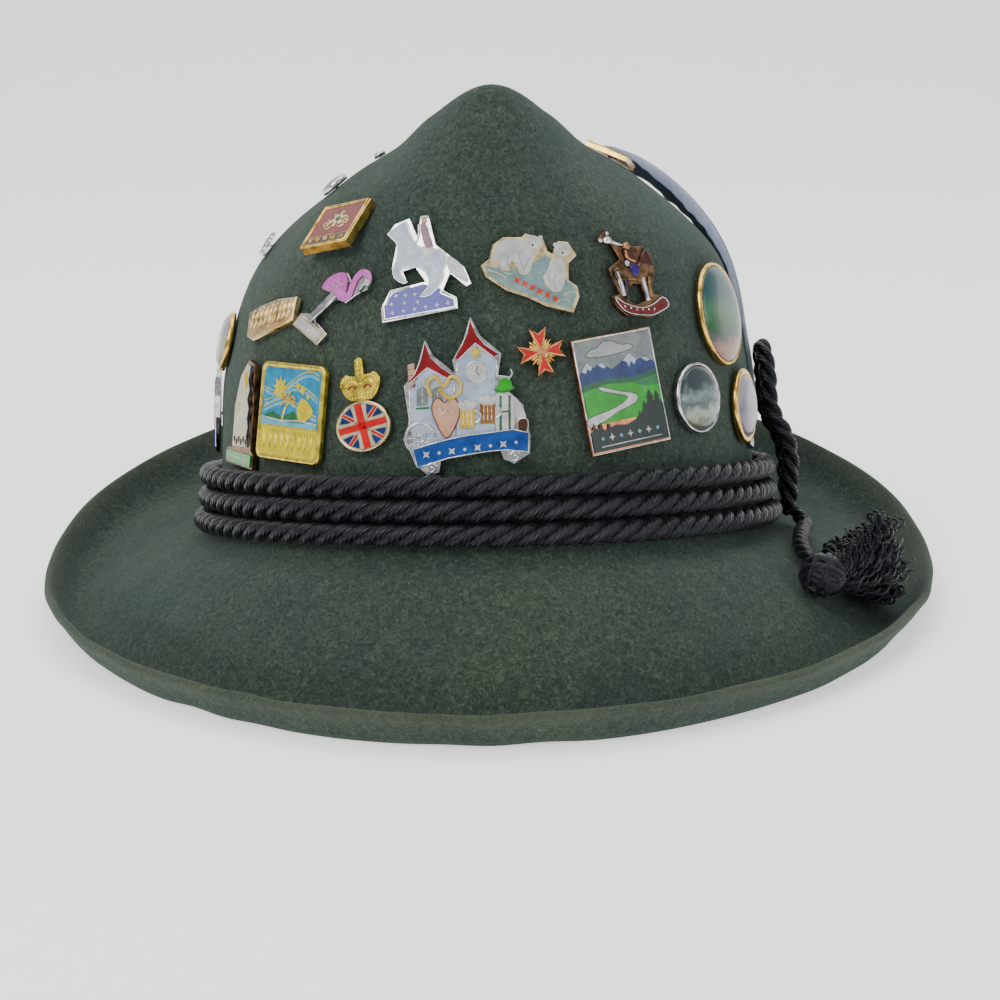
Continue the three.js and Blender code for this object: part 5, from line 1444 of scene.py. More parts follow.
def pin_bears():
    pin = Pin("bears")
    pin.plate(pin.share(BEARS), "pale_gold")
    ice = [
        (-0.93, 0.16), (-0.7, 0.14), (-0.3, 0.1), (0.1, 0.3), (0.3, 0.5), (0.5, 0.3), (0.72, 0.1),
        (0.74, -0.14),
        (0.9, -0.27), (0.93, -0.5), (0.82, -0.82), (0.35, -0.7), (-0.06, -0.5), (-0.47, -0.35),
        (-0.86, -0.06),
    ]
    pin.fill(pin.share(ice), "ice")
    left = [
        (-0.82, 0.2), (-0.78, 0.44), (-0.7, 0.68), (-0.52, 0.83), (-0.2, 0.86), (0.0, 0.78), (0.06, 0.5),
        (0.02, 0.24), (-0.06, 0.02), (-0.22, 0.0), (-0.3, 0.24), (-0.44, 0.3), (-0.42, 0.08), (-0.6, 0.1),
        (-0.66, 0.3),
    ]
    right = [(0.44, 0.44), (0.38, 0.16), (0.26, -0.06), (0.34, -0.3), (0.5, -0.42), (0.62, -0.36),
             (0.7, -0.1), (0.72, 0.2), (0.66, 0.42)]
    for shape in (left, right):
        pin.fill(rounded(pin.share(shape), 2), "white", 1, 0.24, 0.09)
        pin.wire(rounded(pin.share(shape), 2), 0.22, "pale_gold", 2, True, 0.14)
    for cx, cy, lean in ((0.06, 0.78, -0.3), (0.64, 0.62, 0.15)):
        x, y = cx * pin.hx, cy * pin.hy
        for side in (-1, 1):
            pin.dot(x + side * 1.7 - lean, y + 1.5, 0.7, "white", 2, 0.4)
            pin.dot(x + side * 0.9 + lean, y + 0.35, 0.24, "black", 5, 0.12)
        pin.fill(oval(x, y, 2.35, 1.95, 20, lean), "white", 3, 0.24, 0.1)
        pin.wire(oval(x, y, 2.35, 1.95, 20, lean), 0.18, "pale_gold", 4, True, 0.12)
        pin.dot(x + lean, y - 0.75, 0.42, "black", 5, 0.14)
    for line in (
        [(-0.42, 0.5), (-0.48, 0.3), (-0.42, 0.1)], [(-0.25, 0.5), (-0.2, 0.28), (-0.12, 0.06)],
        [(0.0, 0.4), (-0.08, 0.3), (-0.1, 0.2)], [(0.5, 0.0), (0.46, -0.2), (0.52, -0.36)],
        [(0.4, 0.1), (0.36, -0.05), (0.4, -0.2)],
    ):
        pin.wire(rounded(pin.share(line), 4, False), 0.17, "grey", 4, high=0.1)
    for k in range(6):
        x, y = -0.28 + 0.155 * k, -0.16 - 0.085 * k
        pin.fill(star(x * pin.hx, y * pin.hy, 1.25, 0.5, 4, 0.5), "orange", 1, 0.22)
    for line in (
        [(-0.86, 0.06), (-0.6, -0.04), (-0.44, -0.2)], [(0.66, -0.5), (0.8, -0.4), (0.9, -0.42)],
        [(0.5, -0.7), (0.64, -0.6), (0.8, -0.64)], [(-0.6, 0.1), (-0.5, 0.0), (-0.36, -0.02)],
    ):
        pin.wire(rounded(pin.share(line), 4, False), 0.26, "pale_gold", 1, high=0.14)
    pin.done("white_enamel")


def pin_rider():
    pin = Pin("rider")
    pin.plate(pin.share(RIDER), "bronze", holes=[pin.share(RIDER_WINDOW)])
    horse = [(-0.6, 0.02), (-0.36, 0.12), (0.02, 0.12), (0.2, 0.4), (0.34, 0.62), (0.5, 0.46), (0.54, 0.2),
             (0.4, 0.22), (0.36, 0.0), (0.26, -0.14), (-0.1, -0.16), (-0.5, -0.2)]
    pin.fill(rounded(pin.share(horse), 2), "bronze", 1, 0.7, 0.25)
    pin.fill(rounded(pin.share([(0.14, 0.26), (0.3, 0.6), (0.46, 0.44), (0.5, 0.22), (0.34, 0.24)]), 2),
             "brown", 3, 0.75, 0.25)
    for leg, metal in (([(-0.52, -0.02), (-0.4, -0.3), (-0.34, -0.56)], "silver"),
                       ([(-0.26, -0.1), (-0.24, -0.4), (-0.24, -0.62)], "black"),
                       ([(0.22, -0.08), (0.3, -0.34), (0.36, -0.6)], "silver"),
                       ([(0.42, -0.02), (0.44, -0.28), (0.46, -0.5)], "bronze")):
        pin.wire(rounded(pin.share(leg), 4, False), 1.5, metal, 2, high=0.7)
    pin.wire(rounded(pin.share([(-0.58, 0.06), (-0.66, -0.1), (-0.58, -0.32)]), 4, False), 0.8, "black", 1,
             high=0.4)
    body = [(-0.3, 0.56), (-0.08, 0.52), (0.04, 0.3), (-0.02, 0.1), (-0.18, 0.14), (-0.24, 0.34)]
    pin.fill(rounded(pin.share(body), 2), "brown", 4, 0.8, 0.25)
    pin.fill(rounded(pin.share([(-0.14, 0.22), (0.08, 0.2), (0.06, -0.04), (-0.1, -0.02)]), 2), "purple", 5,
             0.85, 0.2)
    pin.wire(rounded(pin.share([(-0.26, 0.5), (-0.2, 0.34), (0.0, 0.28)]), 4, False), 0.9, "copper", 6,
             high=0.8)
    pin.dot(-0.2 * pin.hx, 0.22 * pin.hy, 0.95, "white", 6, 0.7)
    pin.dot(-0.2 * pin.hx, 0.62 * pin.hy, 1.2, "copper", 4, 1.0)
    pin.dot(-0.72 * pin.hx, 0.7 * pin.hy, 1.5, "silver", 2, 1.2, 0.8)
    pin.wire(pin.share([(-0.62, 0.66), (-0.4, 0.64), (-0.26, 0.62)]), 0.8, "silver", 3, high=0.6)
    pin.dot(-0.74 * pin.hx, 0.86 * pin.hy, 0.6, "silver", 3, 0.8)
    pin.dot(-0.92 * pin.hx, 0.67 * pin.hy, 0.6, "silver", 2, 0.6)
    top, low = [(-0.62, -0.62), (-0.36, -0.74), (0.1, -0.8), (0.46, -0.68), (0.76, -0.48)], [(0.92, -0.66),
        (0.6, -0.86), (0.34, -0.95), (-0.24, -0.96), (-0.52, -0.8)]
    ribbon = pin.share(top + low)
    pin.fill(rounded(ribbon, 2), "wine", 4, 0.5, 0.12)
    pin.wire(rounded(ribbon, 3), 0.34, "silver", 9, True, 0.3)
    for k in range(6):
        pin.dot((-0.36 + 0.17 * k) * pin.hx, (-0.85 + 0.02 * abs(k - 2.0)) * pin.hy, 0.36, "silver", 10, 0.18)
    pin.done("dark_bronze")


def pin_picture():
    pin = Pin("picture")
    pin.plate(round_box(pin.hx, pin.hy, 2.6), "yellow_gold", bevel=0.3)
    pin.wire(round_box(pin.hx - 0.7, pin.hy - 0.7, 2.0), 1.2, "yellow_gold", 0, True, 0.4)
    x, y = pin.hx - 1.5, pin.hy - 1.5
    low = -0.28 * pin.hy
    pin.fill([(-x, low), (x, low), (x, y - 1.2), (x - 1.2, y), (-x + 1.2, y), (-x, y - 1.2)], "cyan")
    for k, (cy, lift) in enumerate([(0.62, 3.2), (0.36, 2.6), (0.1, 2.2)]):
        s = np.linspace(-1, 1, 18)
        curve = np.stack([s * (x - 0.6), cy * pin.hy + lift * np.sin(s * 2.4 + k) - 0.8], axis=1)
        pin.wire(curve, 1.0, "light_blue", 1, high=0.12)
        pin.wire(curve + [0, 1.1], 0.3, "yellow", 2, high=0.14)
    pin.fill(star(-5.2, 6.8, 3.6, 2.0, 9, 0.2), "yellow", 2, 0.2)
    pin.wire(arc(-5.2, 6.8, 1.4, 0, 340, 16), 0.36, "yellow_gold", 4, high=0.2)
    for cx, cy, r in ((3.0, 8.0, 0.9), (5.4, 6.9, 1.1), (8.0, 5.2, 0.8)):
        pin.fill(rounded(star(cx, cy, r * 1.3, r * 0.8, 4, 0.3), 2), "yellow", 3, 0.2)
    pin.fill(rounded(np.array([(3.4, 0.8), (5.2, 4.6), (8.6, 3.2), (10.8, 1.0), (8.4, -1.6), (5.0, -2.4)]),
                     2), "yellow", 3, 0.2)
    trunk = [(-3.4, -3.0), (-2.6, 0.4), (-0.8, 3.2)]
    pin.wire(rounded(np.array(trunk), 5, False), 0.8, "yellow_gold", 3, high=0.3)
    for a in (-20, 30, 80, 140, 195):
        tip = (-0.8 + 3.6 * math.cos(math.radians(a)), 3.2 + 2.6 * math.sin(math.radians(a)) - 0.7)
        middle = (-0.8 + 2.0 * math.cos(math.radians(a)), 3.2 + 2.2 * math.sin(math.radians(a)) + 0.5)
        pin.wire(rounded(np.array([(-0.8, 3.2), middle, tip]), 5, False), 0.7, "straw", 4, high=0.25)
    hill = [(-x, -2.0), (-8.0, 0.0), (-3.5, -1.6), (1.5, 0.6), (6.0, -1.6), (x, -3.0), (x, low), (-x, low)]
    pin.fill(np.array(hill), "mid_green", 2, 0.16)
    pin.fill(np.array([(-x, low + 1.9), (0.0, low + 1.2), (x, low + 1.5), (x, low), (-x, low)]),
             "light_blue", 4, 0.14)
    pin.wire(np.array([(-x, low + 2.2), (-4.0, low + 1.4), (4.0, low + 1.9), (x, low + 1.5)]), 0.5, "white",
             5, high=0.16)
    pin.fill([(-x, -y + 1.0), (-x + 1.2, -y), (x - 1.2, -y), (x, -y + 1.0), (x, low - 0.5),
              (-x, low - 0.5)], "yellow", 0, 0.18)
    for k in range(9):
        cx = (k - 4) * 2.7
        pin.wire([(cx - 0.7, low - 1.4), (cx, low - 6.6), (cx + 0.7, low - 1.4)], 0.55, "yellow_gold", 1,
                 high=0.45)
    pin.done("gold_metal")


def pin_crown_flag():
    pin = Pin("crown_flag")
    disc_y, disc_r = -0.45 * pin.hy, 0.53 * pin.hy
    disc = oval(0, disc_y, 0.96 * pin.hx, disc_r, 40)
    pin.plate(disc, "pale_gold", bevel=0.2)
    pin.plate(rounded(pin.share(CROWN_TOP), 2), "yellow_gold", bevel=0.25)
    inner_x, inner_y = 0.96 * pin.hx - 0.7, disc_r - 0.7
    turn = math.radians(8)
    field = oval(0, disc_y, inner_x, inner_y, 40)
    pin.fill(field, "cream")

    def cut(band, name, level):
        """Part of a straight band that lies inside the disc."""
        x0, x1, half, angle = band
        rows = []
        c, s = math.cos(angle), math.sin(angle)
        for edge in (-half, half):
            reach = 0.985 * math.sqrt(max(inner_x ** 2 - edge ** 2, 0))
            span = [max(x0, -reach), min(x1, reach)]
            rows += [(c * v - s * edge, (s * v + c * edge) * inner_y / inner_x + disc_y)
                     for v in (span if edge < 0 else span[::-1])]
        pin.fill(rows, name, level, 0.14, 0.03)

    for k in range(4):
        for side in (-1, 1):
            a0 = turn + k * math.pi / 2
            near, far = (24, 40) if side > 0 else (50, 66)
            wedge = [(0.46, (near + far) / 2), (0.97, near - (4 if side > 0 else 0)),
                     (0.97, far + (0 if side > 0 else 4))]
            rows = [(r * inner_x * math.cos(a0 + math.radians(d)),
                     r * inner_y * math.sin(a0 + math.radians(d)) + disc_y) for r, d in wedge]
            pin.fill(rows, "navy", 1, 0.12, 0.03)
    for k in range(4):
        cut((0.3 * inner_x, inner_x, 0.42, turn + math.pi / 4 + k * math.pi / 2), "red", 2)
    for k in range(2):
        cut((-inner_x, inner_x, 2.25, turn + k * math.pi / 2), "cream", 3)
    for k in range(2):
        cut((-inner_x, inner_x, 1.2, turn + k * math.pi / 2), "red", 4)
    pin.wire(oval(0, disc_y, inner_x + 0.35, inner_y + 0.35, 40), 0.8, "pale_gold", 2, True, 0.3)
    for side in (-1, 1):
        pin.wire(arc(side * 2.6, 0.36 * pin.hy, 2.0, 20, 160, 12), 1.0, "yellow_gold", 1, high=0.5)
        pin.wire(arc(side * 2.6, 0.31 * pin.hy, 1.25, 20, 160, 10), 0.5, "dark_red", 2, high=0.35)
    for x in np.linspace(-3.4, 3.4, 8):
        pin.dot(x, 0.15 * pin.hy, 0.46, "yellow_gold", 1, 0.4)
        pin.dot(x * 1.05, 0.22 * pin.hy, 0.4, "yellow_gold", 1, 0.4)
    for a in np.linspace(15, 165, 9):
        for side in (-1, 1):
            pin.dot(side * 3.2 + 2.9 * math.cos(math.radians(a)),
                    0.38 * pin.hy + 3.0 * math.sin(math.radians(a)), 0.42, "yellow_gold", 2, 0.4)
    for y in (0.66, 0.76, 0.86, 0.92):
        pin.dot(0, y * pin.hy, 0.95 if y == 0.86 else 0.7, "yellow_gold", 1, 0.7)
    pin.done("gold_metal")


def pin_towers():
    pin = Pin("towers")
    pin.plate(pin.share(TOWERS), "silver")
    share = pin.share
    pin.fill(share([(-0.93, 0.4), (-0.83, 0.42), (-0.8, 0.12), (-0.92, 0.1)]), "skin", 0)
    for k in range(3):
        pin.wire(share([(-0.93, 0.34 - 0.08 * k), (-0.82, 0.35 - 0.08 * k)]), 0.2, "wine", 1, high=0.1)
    pin.fill(share([(-0.9, 0.1), (-0.62, 0.36), (-0.24, 0.2), (-0.2, 0.1), (-0.2, -0.56), (-0.84, -0.62),
                    (-0.88, -0.3)]), "sky_white")
    pin.fill(share([(-0.17, 0.44), (0.13, 0.66), (0.45, 0.46), (0.42, -0.45), (-0.16, -0.52)]), "sky_white",
             0)
    left_roof = [(-0.96, 0.13), (-0.82, 0.28), (-0.73, 0.45), (-0.66, 0.68), (-0.56, 0.48), (-0.4, 0.36),
                 (-0.2, 0.25), (-0.24, 0.19), (-0.62, 0.36)]
    right_roof = [(-0.2, 0.47), (-0.08, 0.64), (-0.0, 0.78), (0.05, 0.96), (0.14, 0.78), (0.28, 0.64),
                  (0.5, 0.52), (0.42, 0.48), (0.13, 0.66), (-0.14, 0.45)]
    for roof in (left_roof, right_roof):
        pin.fill(share(roof), "dark_red", 1, 0.26, 0.08)
        pin.wire(share(roof), 0.34, "silver", 2, True, 0.28)
    for wall in ([(-0.9, 0.1), (-0.9, -0.5)], [(-0.2, 0.2), (-0.2, -0.1)], [(0.45, 0.46), (0.47, 0.2)],
                 [(-0.15, 0.42), (-0.17, 0.2)]):
        pin.wire(share(wall), 0.45, "silver", 1, high=0.2)
    for x in (-0.7, -0.46):
        pin.fill(share([(x - 0.09, -0.12), (x + 0.09, -0.11), (x + 0.09, 0.08), (x, 0.13),
                        (x - 0.09, 0.08)]), "grey", 1, 0.12)
        pin.wire(share([(x, -0.1), (x, 0.1)]), 0.2, "silver", 2, high=0.12)
        pin.wire(share([(x - 0.1, -0.15), (x + 0.1, -0.14)]), 0.6, "mid_green", 2, high=0.2)
    clock = (0.14 * pin.hx, 0.3 * pin.hy)
    pin.fill(oval(*clock, 3.0, 3.0, 30), "white", 1)
    pin.wire(oval(*clock, 3.0, 3.0, 30), 0.36, "silver", 2, True)
    for k in range(12):
        a = k * math.pi / 6
        pin.dot(clock[0] + 2.3 * math.cos(a), clock[1] + 2.3 * math.sin(a), 0.16, "black", 2, 0.06)
    pin.wire([clock, (clock[0] + 0.5, clock[1] + 1.8)], 0.22, "black", 3, high=0.1)
    pin.wire([clock, (clock[0] + 0.9, clock[1] - 0.9)], 0.22, "black", 3, high=0.1)
    pin.fill(star(0.14 * pin.hx, 0.545 * pin.hy, 2.0, 1.0, 6, 0.3), "yellow_gold", 2, 0.3, 0.1)
    pin.dot(0.14 * pin.hx, 0.545 * pin.hy, 0.7, "straw", 5)
    wheel = (-0.73 * pin.hx, -0.52 * pin.hy)
    for radius, width in ((4.3, 0.75), (1.0, 0.6)):
        pin.wire(oval(*wheel, radius, radius, 30), width, "silver", 3, True, 0.35)
    for k in range(10):
        a = k * math.pi / 5
        pin.wire([(wheel[0] + math.cos(a), wheel[1] + math.sin(a)),
                  (wheel[0] + 4.2 * math.cos(a), wheel[1] + 4.2 * math.sin(a))], 0.34, "silver", 2, high=0.3)
    heart = [(-0.33, -0.52), (-0.5, -0.3), (-0.55, -0.12), (-0.46, -0.02), (-0.35, -0.08), (-0.24, -0.01),
             (-0.12, -0.12), (-0.16, -0.32)]
    pin.fill(rounded(share(heart), 3), "skin", 3, 0.3, 0.1)
    pin.wire(rounded(share(heart), 3), 0.4, "wine", 5, True, 0.2)
    pin.wire(rounded(share([(-0.44, -0.14), (-0.38, -0.22), (-0.3, -0.14), (-0.22, -0.22)]), 4, False), 0.4,
             "white", 6, high=0.16)
    twist = [(-0.56, 0.0), (-0.62, 0.16), (-0.5, 0.24), (-0.36, 0.12), (-0.26, 0.24), (-0.12, 0.2),
             (-0.12, 0.04), (-0.3, -0.02), (-0.44, 0.1), (-0.36, 0.02)]
    pin.wire(rounded(share(twist), 4, False), 1.1, "straw", 6, high=0.6)
    for k in range(5):
        pin.dot((-0.54 + 0.1 * k) * pin.hx, (0.13 + 0.05 * (k % 2)) * pin.hy, 0.2, "white", 14, 0.1)
    for x, y in ((0.0, -0.2), (0.32, -0.14)):
        px, py = x * pin.hx, y * pin.hy
        pin.fill([(px - 2.0, py - 4.6), (px + 2.0, py - 4.5), (px + 2.2, py + 1.6), (px - 2.2, py + 1.5)],
                 "straw" if x == 0 else "beer", 3, 0.3, 0.1)
        pin.wire(arc(px + 2.0, py - 1.2, 1.7, -85, 85), 0.7, "silver", 4, high=0.35)
        for d in (-1.1, 0.0, 1.1):
            pin.wire([(px + d, py - 4.2), (px + d, py + 1.0)], 0.26, "silver", 6, high=0.12)
        for dx, dy in ((-1.6, 2.0), (0.0, 2.5), (1.6, 2.0), (-0.8, 1.5), (0.9, 1.5)):
            pin.dot(px + dx, py + dy, 1.15, "white", 5, 0.5)
    brim_line = [(0.42, 0.08), (0.52, 0.05), (0.68, 0.07), (0.72, 0.12)]
    pin.fill(rounded(share([(0.42, 0.07), (0.56, 0.03), (0.74, 0.09), (0.7, 0.13), (0.66, 0.22), (0.5, 0.2),
                            (0.48, 0.11)]), 2), "green", 5, 0.3, 0.1)
    pin.wire(rounded(share(brim_line), 3, False), 0.3, "deep_green", 8, high=0.2)
    pin.wire(rounded(share([(0.64, 0.2), (0.7, 0.27), (0.68, 0.33)]), 4, False), 0.4, "white", 8, high=0.2)
    shirt = [(0.44, 0.02), (0.68, 0.03), (0.84, -0.12), (0.92, -0.3), (0.8, -0.34), (0.74, -0.22),
             (0.72, -0.44), (0.46, -0.48)]
    pin.fill(rounded(share(shirt), 2), "white", 3, 0.24)
    for x in (0.52, 0.66):
        pin.wire(share([(x, 0.0), (x, -0.45)]), 0.75, "deep_green", 5, high=0.2)
    pin.wire(share([(0.52, -0.2), (0.66, -0.19)]), 0.6, "deep_green", 5, high=0.2)
    pin.fill(rounded(share([(0.8, -0.3), (0.94, -0.3), (0.92, -0.46), (0.8, -0.46)]), 3), "brown", 4, 0.24)
    pin.wire(rounded(share([(0.8, -0.3), (0.94, -0.3), (0.92, -0.46), (0.8, -0.46)]), 3), 0.3, "silver", 5,
             True, 0.2)
    ribbon = [(-0.85, -0.66), (-0.6, -0.6), (-0.32, -0.54), (0.0, -0.49), (0.31, -0.46), (0.7, -0.42),
              (0.96, -0.46),
              (0.95, -0.7), (0.62, -0.67), (0.31, -0.69), (-0.02, -0.73), (-0.3, -0.77), (-0.58, -0.84),
              (-0.78, -0.88)]
    pin.fill(share(ribbon), "blue", 4, 0.36, 0.1)
    pin.wire(share(ribbon), 0.34, "silver", 7, True, 0.32)
    for k in range(8):
        x = -0.64 + 0.2 * k
        y = -0.725 + 0.145 * (x + 0.64) / 1.4
        if k % 2:
            pin.dot(x * pin.hx, y * pin.hy, 0.5, "white", 8, 0.2)
        else:
            pin.fill(star(x * pin.hx, y * pin.hy, 1.3, 0.55, 4, 0.785), "white", 8, 0.2)
    for x, y, turn in ((-0.56, -0.9, 0.4), (0.74, -0.76, 0.6)):
        pin.wire(spiral(x * pin.hx, y * pin.hy, 1.7, 1.3, turn), 0.75, "silver", 5, high=0.5)
    pin.done("white_enamel")


def pin_cross():
    pin = Pin("cross")
    reach, notch, waist = 0.96 * pin.hx, 0.74 * pin.hx, 0.13 * pin.hx
    half = 0.36 * pin.hx
    rays = star(0, 0, 0.66 * pin.hx, 0.4 * pin.hx, 12, math.pi / 12)
    pin.plate(rays, "gold", high=1.3, bevel=0.2)
    arms = []
    for k in range(4):
        a = k * math.pi / 2
        c, s = math.cos(a), math.sin(a)
        for x, y in ((waist, -waist), (reach, -half), (notch, 0), (reach, half)):
            arms.append((c * x - s * y, s * x + c * y))
    pin.plate(arms, "copper", high=THICK - 0.05)
    for k in range(4):
        a = k * math.pi / 2
        c, s = math.cos(a), math.sin(a)
        cell = np.array([(waist * 0.8, 0), (reach - 0.45, -half + 0.35), (notch - 0.35, 0),
                         (reach - 0.45, half - 0.35)])
        cell = np.stack([c * cell[:, 0] - s * cell[:, 1], s * cell[:, 0] + c * cell[:, 1]], axis=1)
        pin.fill(inset(Pin.wound(cell, True), 0.22), "red", 1, 0.2, 0.06)
        pin.wire(Pin.wound(cell, True), 0.26, "gold", 1, True, 0.24)
        for d in (-14, 0, 14):
            b = a + math.pi / 4 + math.radians(d)
            size = 0.62 if d == 0 else 0.54
            pin.wire([(0.16 * pin.hx * math.cos(b), 0.16 * pin.hx * math.sin(b)),
                      (size * pin.hx * math.cos(b), size * pin.hx * math.sin(b))], 0.5, "gold", -2, high=0.4)
    pin.done("red_enamel")


def pin_landscape():
    pin = Pin("landscape")
    pin.plate(pin.share(BOX), "copper", bevel=0.2)
    x, y = pin.hx - 0.55, pin.hy - 0.55
    pin.wire(inset(pin.share(BOX), 0.3), 0.5, "silver", 1, True, 0.2)

    def cells(points):
        return np.asarray(points, float) * [x, y]

    pin.fill(cells([(-1, 0.3), (1, 0.3), (1, 1), (-1, 1)]), "grey")
    cloud = [(-0.75, 0.72), (-0.6, 0.82), (-0.42, 0.84), (-0.25, 0.93), (0.02, 0.9), (0.2, 0.82),
             (0.42, 0.8), (0.5, 0.72), (0.1, 0.68), (-0.4, 0.67)]
    pin.fill(rounded(cells(cloud), 2), "light_grey", 1, 0.14)
    pin.wire(rounded(cells(cloud), 3), 0.22, "black", 2, True, 0.08)
    ridge = [(-1, 0.42), (-0.78, 0.62), (-0.6, 0.5), (-0.4, 0.58), (-0.16, 0.42), (0.1, 0.5), (0.36, 0.66),
             (0.54, 0.5), (0.76, 0.54), (1, 0.4), (1, 0.18), (-1, 0.18)]
    pin.fill(cells(ridge), "navy", 2, 0.14)
    for snow in (
        [(-0.94, 0.47), (-0.78, 0.61), (-0.64, 0.52), (-0.7, 0.46), (-0.78, 0.5), (-0.84, 0.43)],
        [(0.16, 0.53), (0.36, 0.65), (0.52, 0.51), (0.46, 0.42), (0.38, 0.5), (0.3, 0.4), (0.26, 0.5)],
        [(-0.5, 0.54), (-0.4, 0.57), (-0.28, 0.49), (-0.36, 0.46)],
        [(0.66, 0.52), (0.76, 0.53), (0.88, 0.46), (0.78, 0.44)],
    ):
        pin.fill(cells(snow), "sky_white", 3, 0.14, 0.03)
    pin.fill(cells([(-1, 0.22), (-0.3, 0.27), (0.4, 0.2), (1, 0.28), (1, -0.1), (-1, -0.1)]), "deep_green",
             3, 0.13)
    pin.fill(cells([(-1, 0.1), (-0.4, 0.18), (0.3, 0.12), (1, 0.18), (1, -0.5), (-1, -0.5)]), "green", 4,
             0.13)
    pin.fill(cells([(0.3, 0.12), (0.62, 0.02), (1, 0.0), (1, 0.18), (0.7, 0.16)]), "mid_green", 5, 0.12)
    river = [(-0.6, 0.13), (-0.5, 0.14), (-0.1, 0.02), (0.35, -0.1), (0.3, -0.24), (-0.2, -0.34),
             (-0.6, -0.46), (-1, -0.52),
             (-1, -0.36), (-0.5, -0.3), (-0.1, -0.22), (0.12, -0.12), (-0.1, -0.04), (-0.48, 0.06)]
    pin.fill(rounded(cells(river), 2), "white", 5, 0.14, 0.04)
    pin.wire(rounded(cells(river), 3), 0.2, "forest", 6, True, 0.08)
    shore = [(-1, -0.62), (-0.8, -0.56), (-0.62, -0.62), (-0.3, -0.56), (0.0, -0.6), (0.3, -0.52),
             (0.5, -0.36), (0.7, -0.3), (1, -0.34), (1, -0.98), (-1, -0.98)]
    pin.fill(cells(shore), "forest", 6, 0.14)
    for tx, ty, size in ((0.86, -0.32, 3.6), (0.68, -0.34, 4.6), (0.5, -0.42, 2.9), (0.34, -0.54, 2.2),
                         (-0.9, -0.58, 2.0), (-0.72, -0.62, 2.6), (-0.5, -0.6, 1.7)):
        px, py = tx * x, ty * y
        px = min(px, x - 0.42 * size)
        px = max(px, -x + 0.42 * size)
        tree = [(px - 0.4 * size, py), (px - 0.14 * size, py + 0.4 * size),
                (px - 0.26 * size, py + 0.42 * size), (px, py + size),
                (px + 0.26 * size, py + 0.42 * size), (px + 0.14 * size, py + 0.4 * size),
                (px + 0.4 * size, py)]
        pin.fill(tree[::-1], "forest", 7, 0.13, 0.03)
    for k in range(7):
        pin.fill(star((k - 3) * 3.2, -0.76 * y, 1.1 if k % 2 else 0.7, 0.4, 4),
                 "white" if k % 2 else "light_blue", 8, 0.12, 0.03)
    pin.wire(cells([(-0.8, -0.9), (0.8, -0.9)]), 0.3, "white", 8, high=0.1)
    pin.done("blue_enamel")


def pin_flamingo():
    pin = Pin("flamingo")
    pin.plate(pin.share(FLAMINGO), "silver", high=1.3)
    share = pin.share
    body = [(-0.33, 0.34), (-0.26, 0.5), (-0.09, 0.62), (0.1, 0.66), (0.22, 0.6), (0.26, 0.4), (0.24, 0.16),
            (0.3, -0.0), (0.18, -0.04), (0.04, 0.06), (-0.06, 0.22), (-0.2, 0.26)]
    pin.fill(rounded(share(body), 2), "pink", 0, 0.55, 0.2)
    neck = [(0.2, 0.1), (0.3, 0.06), (0.36, 0.24), (0.46, 0.48), (0.6, 0.6), (0.74, 0.5), (0.74, 0.34)]
    pin.wire(rounded(share(neck), 4, False), 2.0, "pink", 1, high=0.6)
    pin.dot(0.72 * pin.hx, 0.36 * pin.hy, 1.25, "white", 3, 0.6)
    pin.wire(rounded(share([(0.68, 0.34), (0.58, 0.24), (0.6, 0.16)]), 4, False), 0.9, "white", 3, high=0.5)
    pin.dot(0.6 * pin.hx, 0.16 * pin.hy, 0.5, "black", 5, 0.4)
    pin.dot(0.76 * pin.hx, 0.42 * pin.hy, 0.2, "black", 12, 0.12)
    for k in range(3):
        start = (-0.24 + 0.12 * k, 0.4 + 0.04 * k)
        pin.wire(rounded(share([start, (start[0] + 0.14, start[1] - 0.1),
                                (start[0] + 0.3, start[1] - 0.06)]), 4, False), 0.22, "silver", 8, high=0.12)
    pin.wire(share([(0.02, 0.1), (-0.26, -0.18), (-0.56, -0.46)]), 0.8, "silver", 2, high=0.6)
    plaque = share([(-0.93, -0.44), (-0.8, -0.27), (-0.26, -0.74), (-0.39, -0.93)])
    pin.plate(inset(Pin.wound(np.array(plaque), True), -0.5), "pale_gold", high=1.9)
    pin.fill(plaque, "white", 5, 0.2)
    for k in range(4):
        cx, cy = (-0.8 + 0.14 * k) * pin.hx, (-0.42 - 0.12 * k) * pin.hy
        pin.wire(spiral(cx, cy, 0.75, 1.1, k, 14), 0.22, "silver", 8, high=0.12)
    pin.done("pink_enamel")


def pin_relief():
    pin = Pin("relief")
    pin.plate(pin.share(RELIEF), "pale_gold", high=1.9, bevel=0.3)
    for k in range(9):
        x = -0.8 + 0.19 * k
        wave = [(x, -0.3), (x + 0.05, 0.2), (x + 0.12, 0.72)]
        pin.wire(pin.share(wave), 0.85, "pale_gold", 5, high=0.8)
    pin.wire(pin.share([(-0.9, -0.42), (0.84, -0.36)]), 0.5, "copper", 4, high=0.3)
    pin.wire(pin.share([(-0.7, -0.86), (0.8, -0.5)]), 0.8, "gold", 4, high=0.5)
    pin.done("gold_metal")


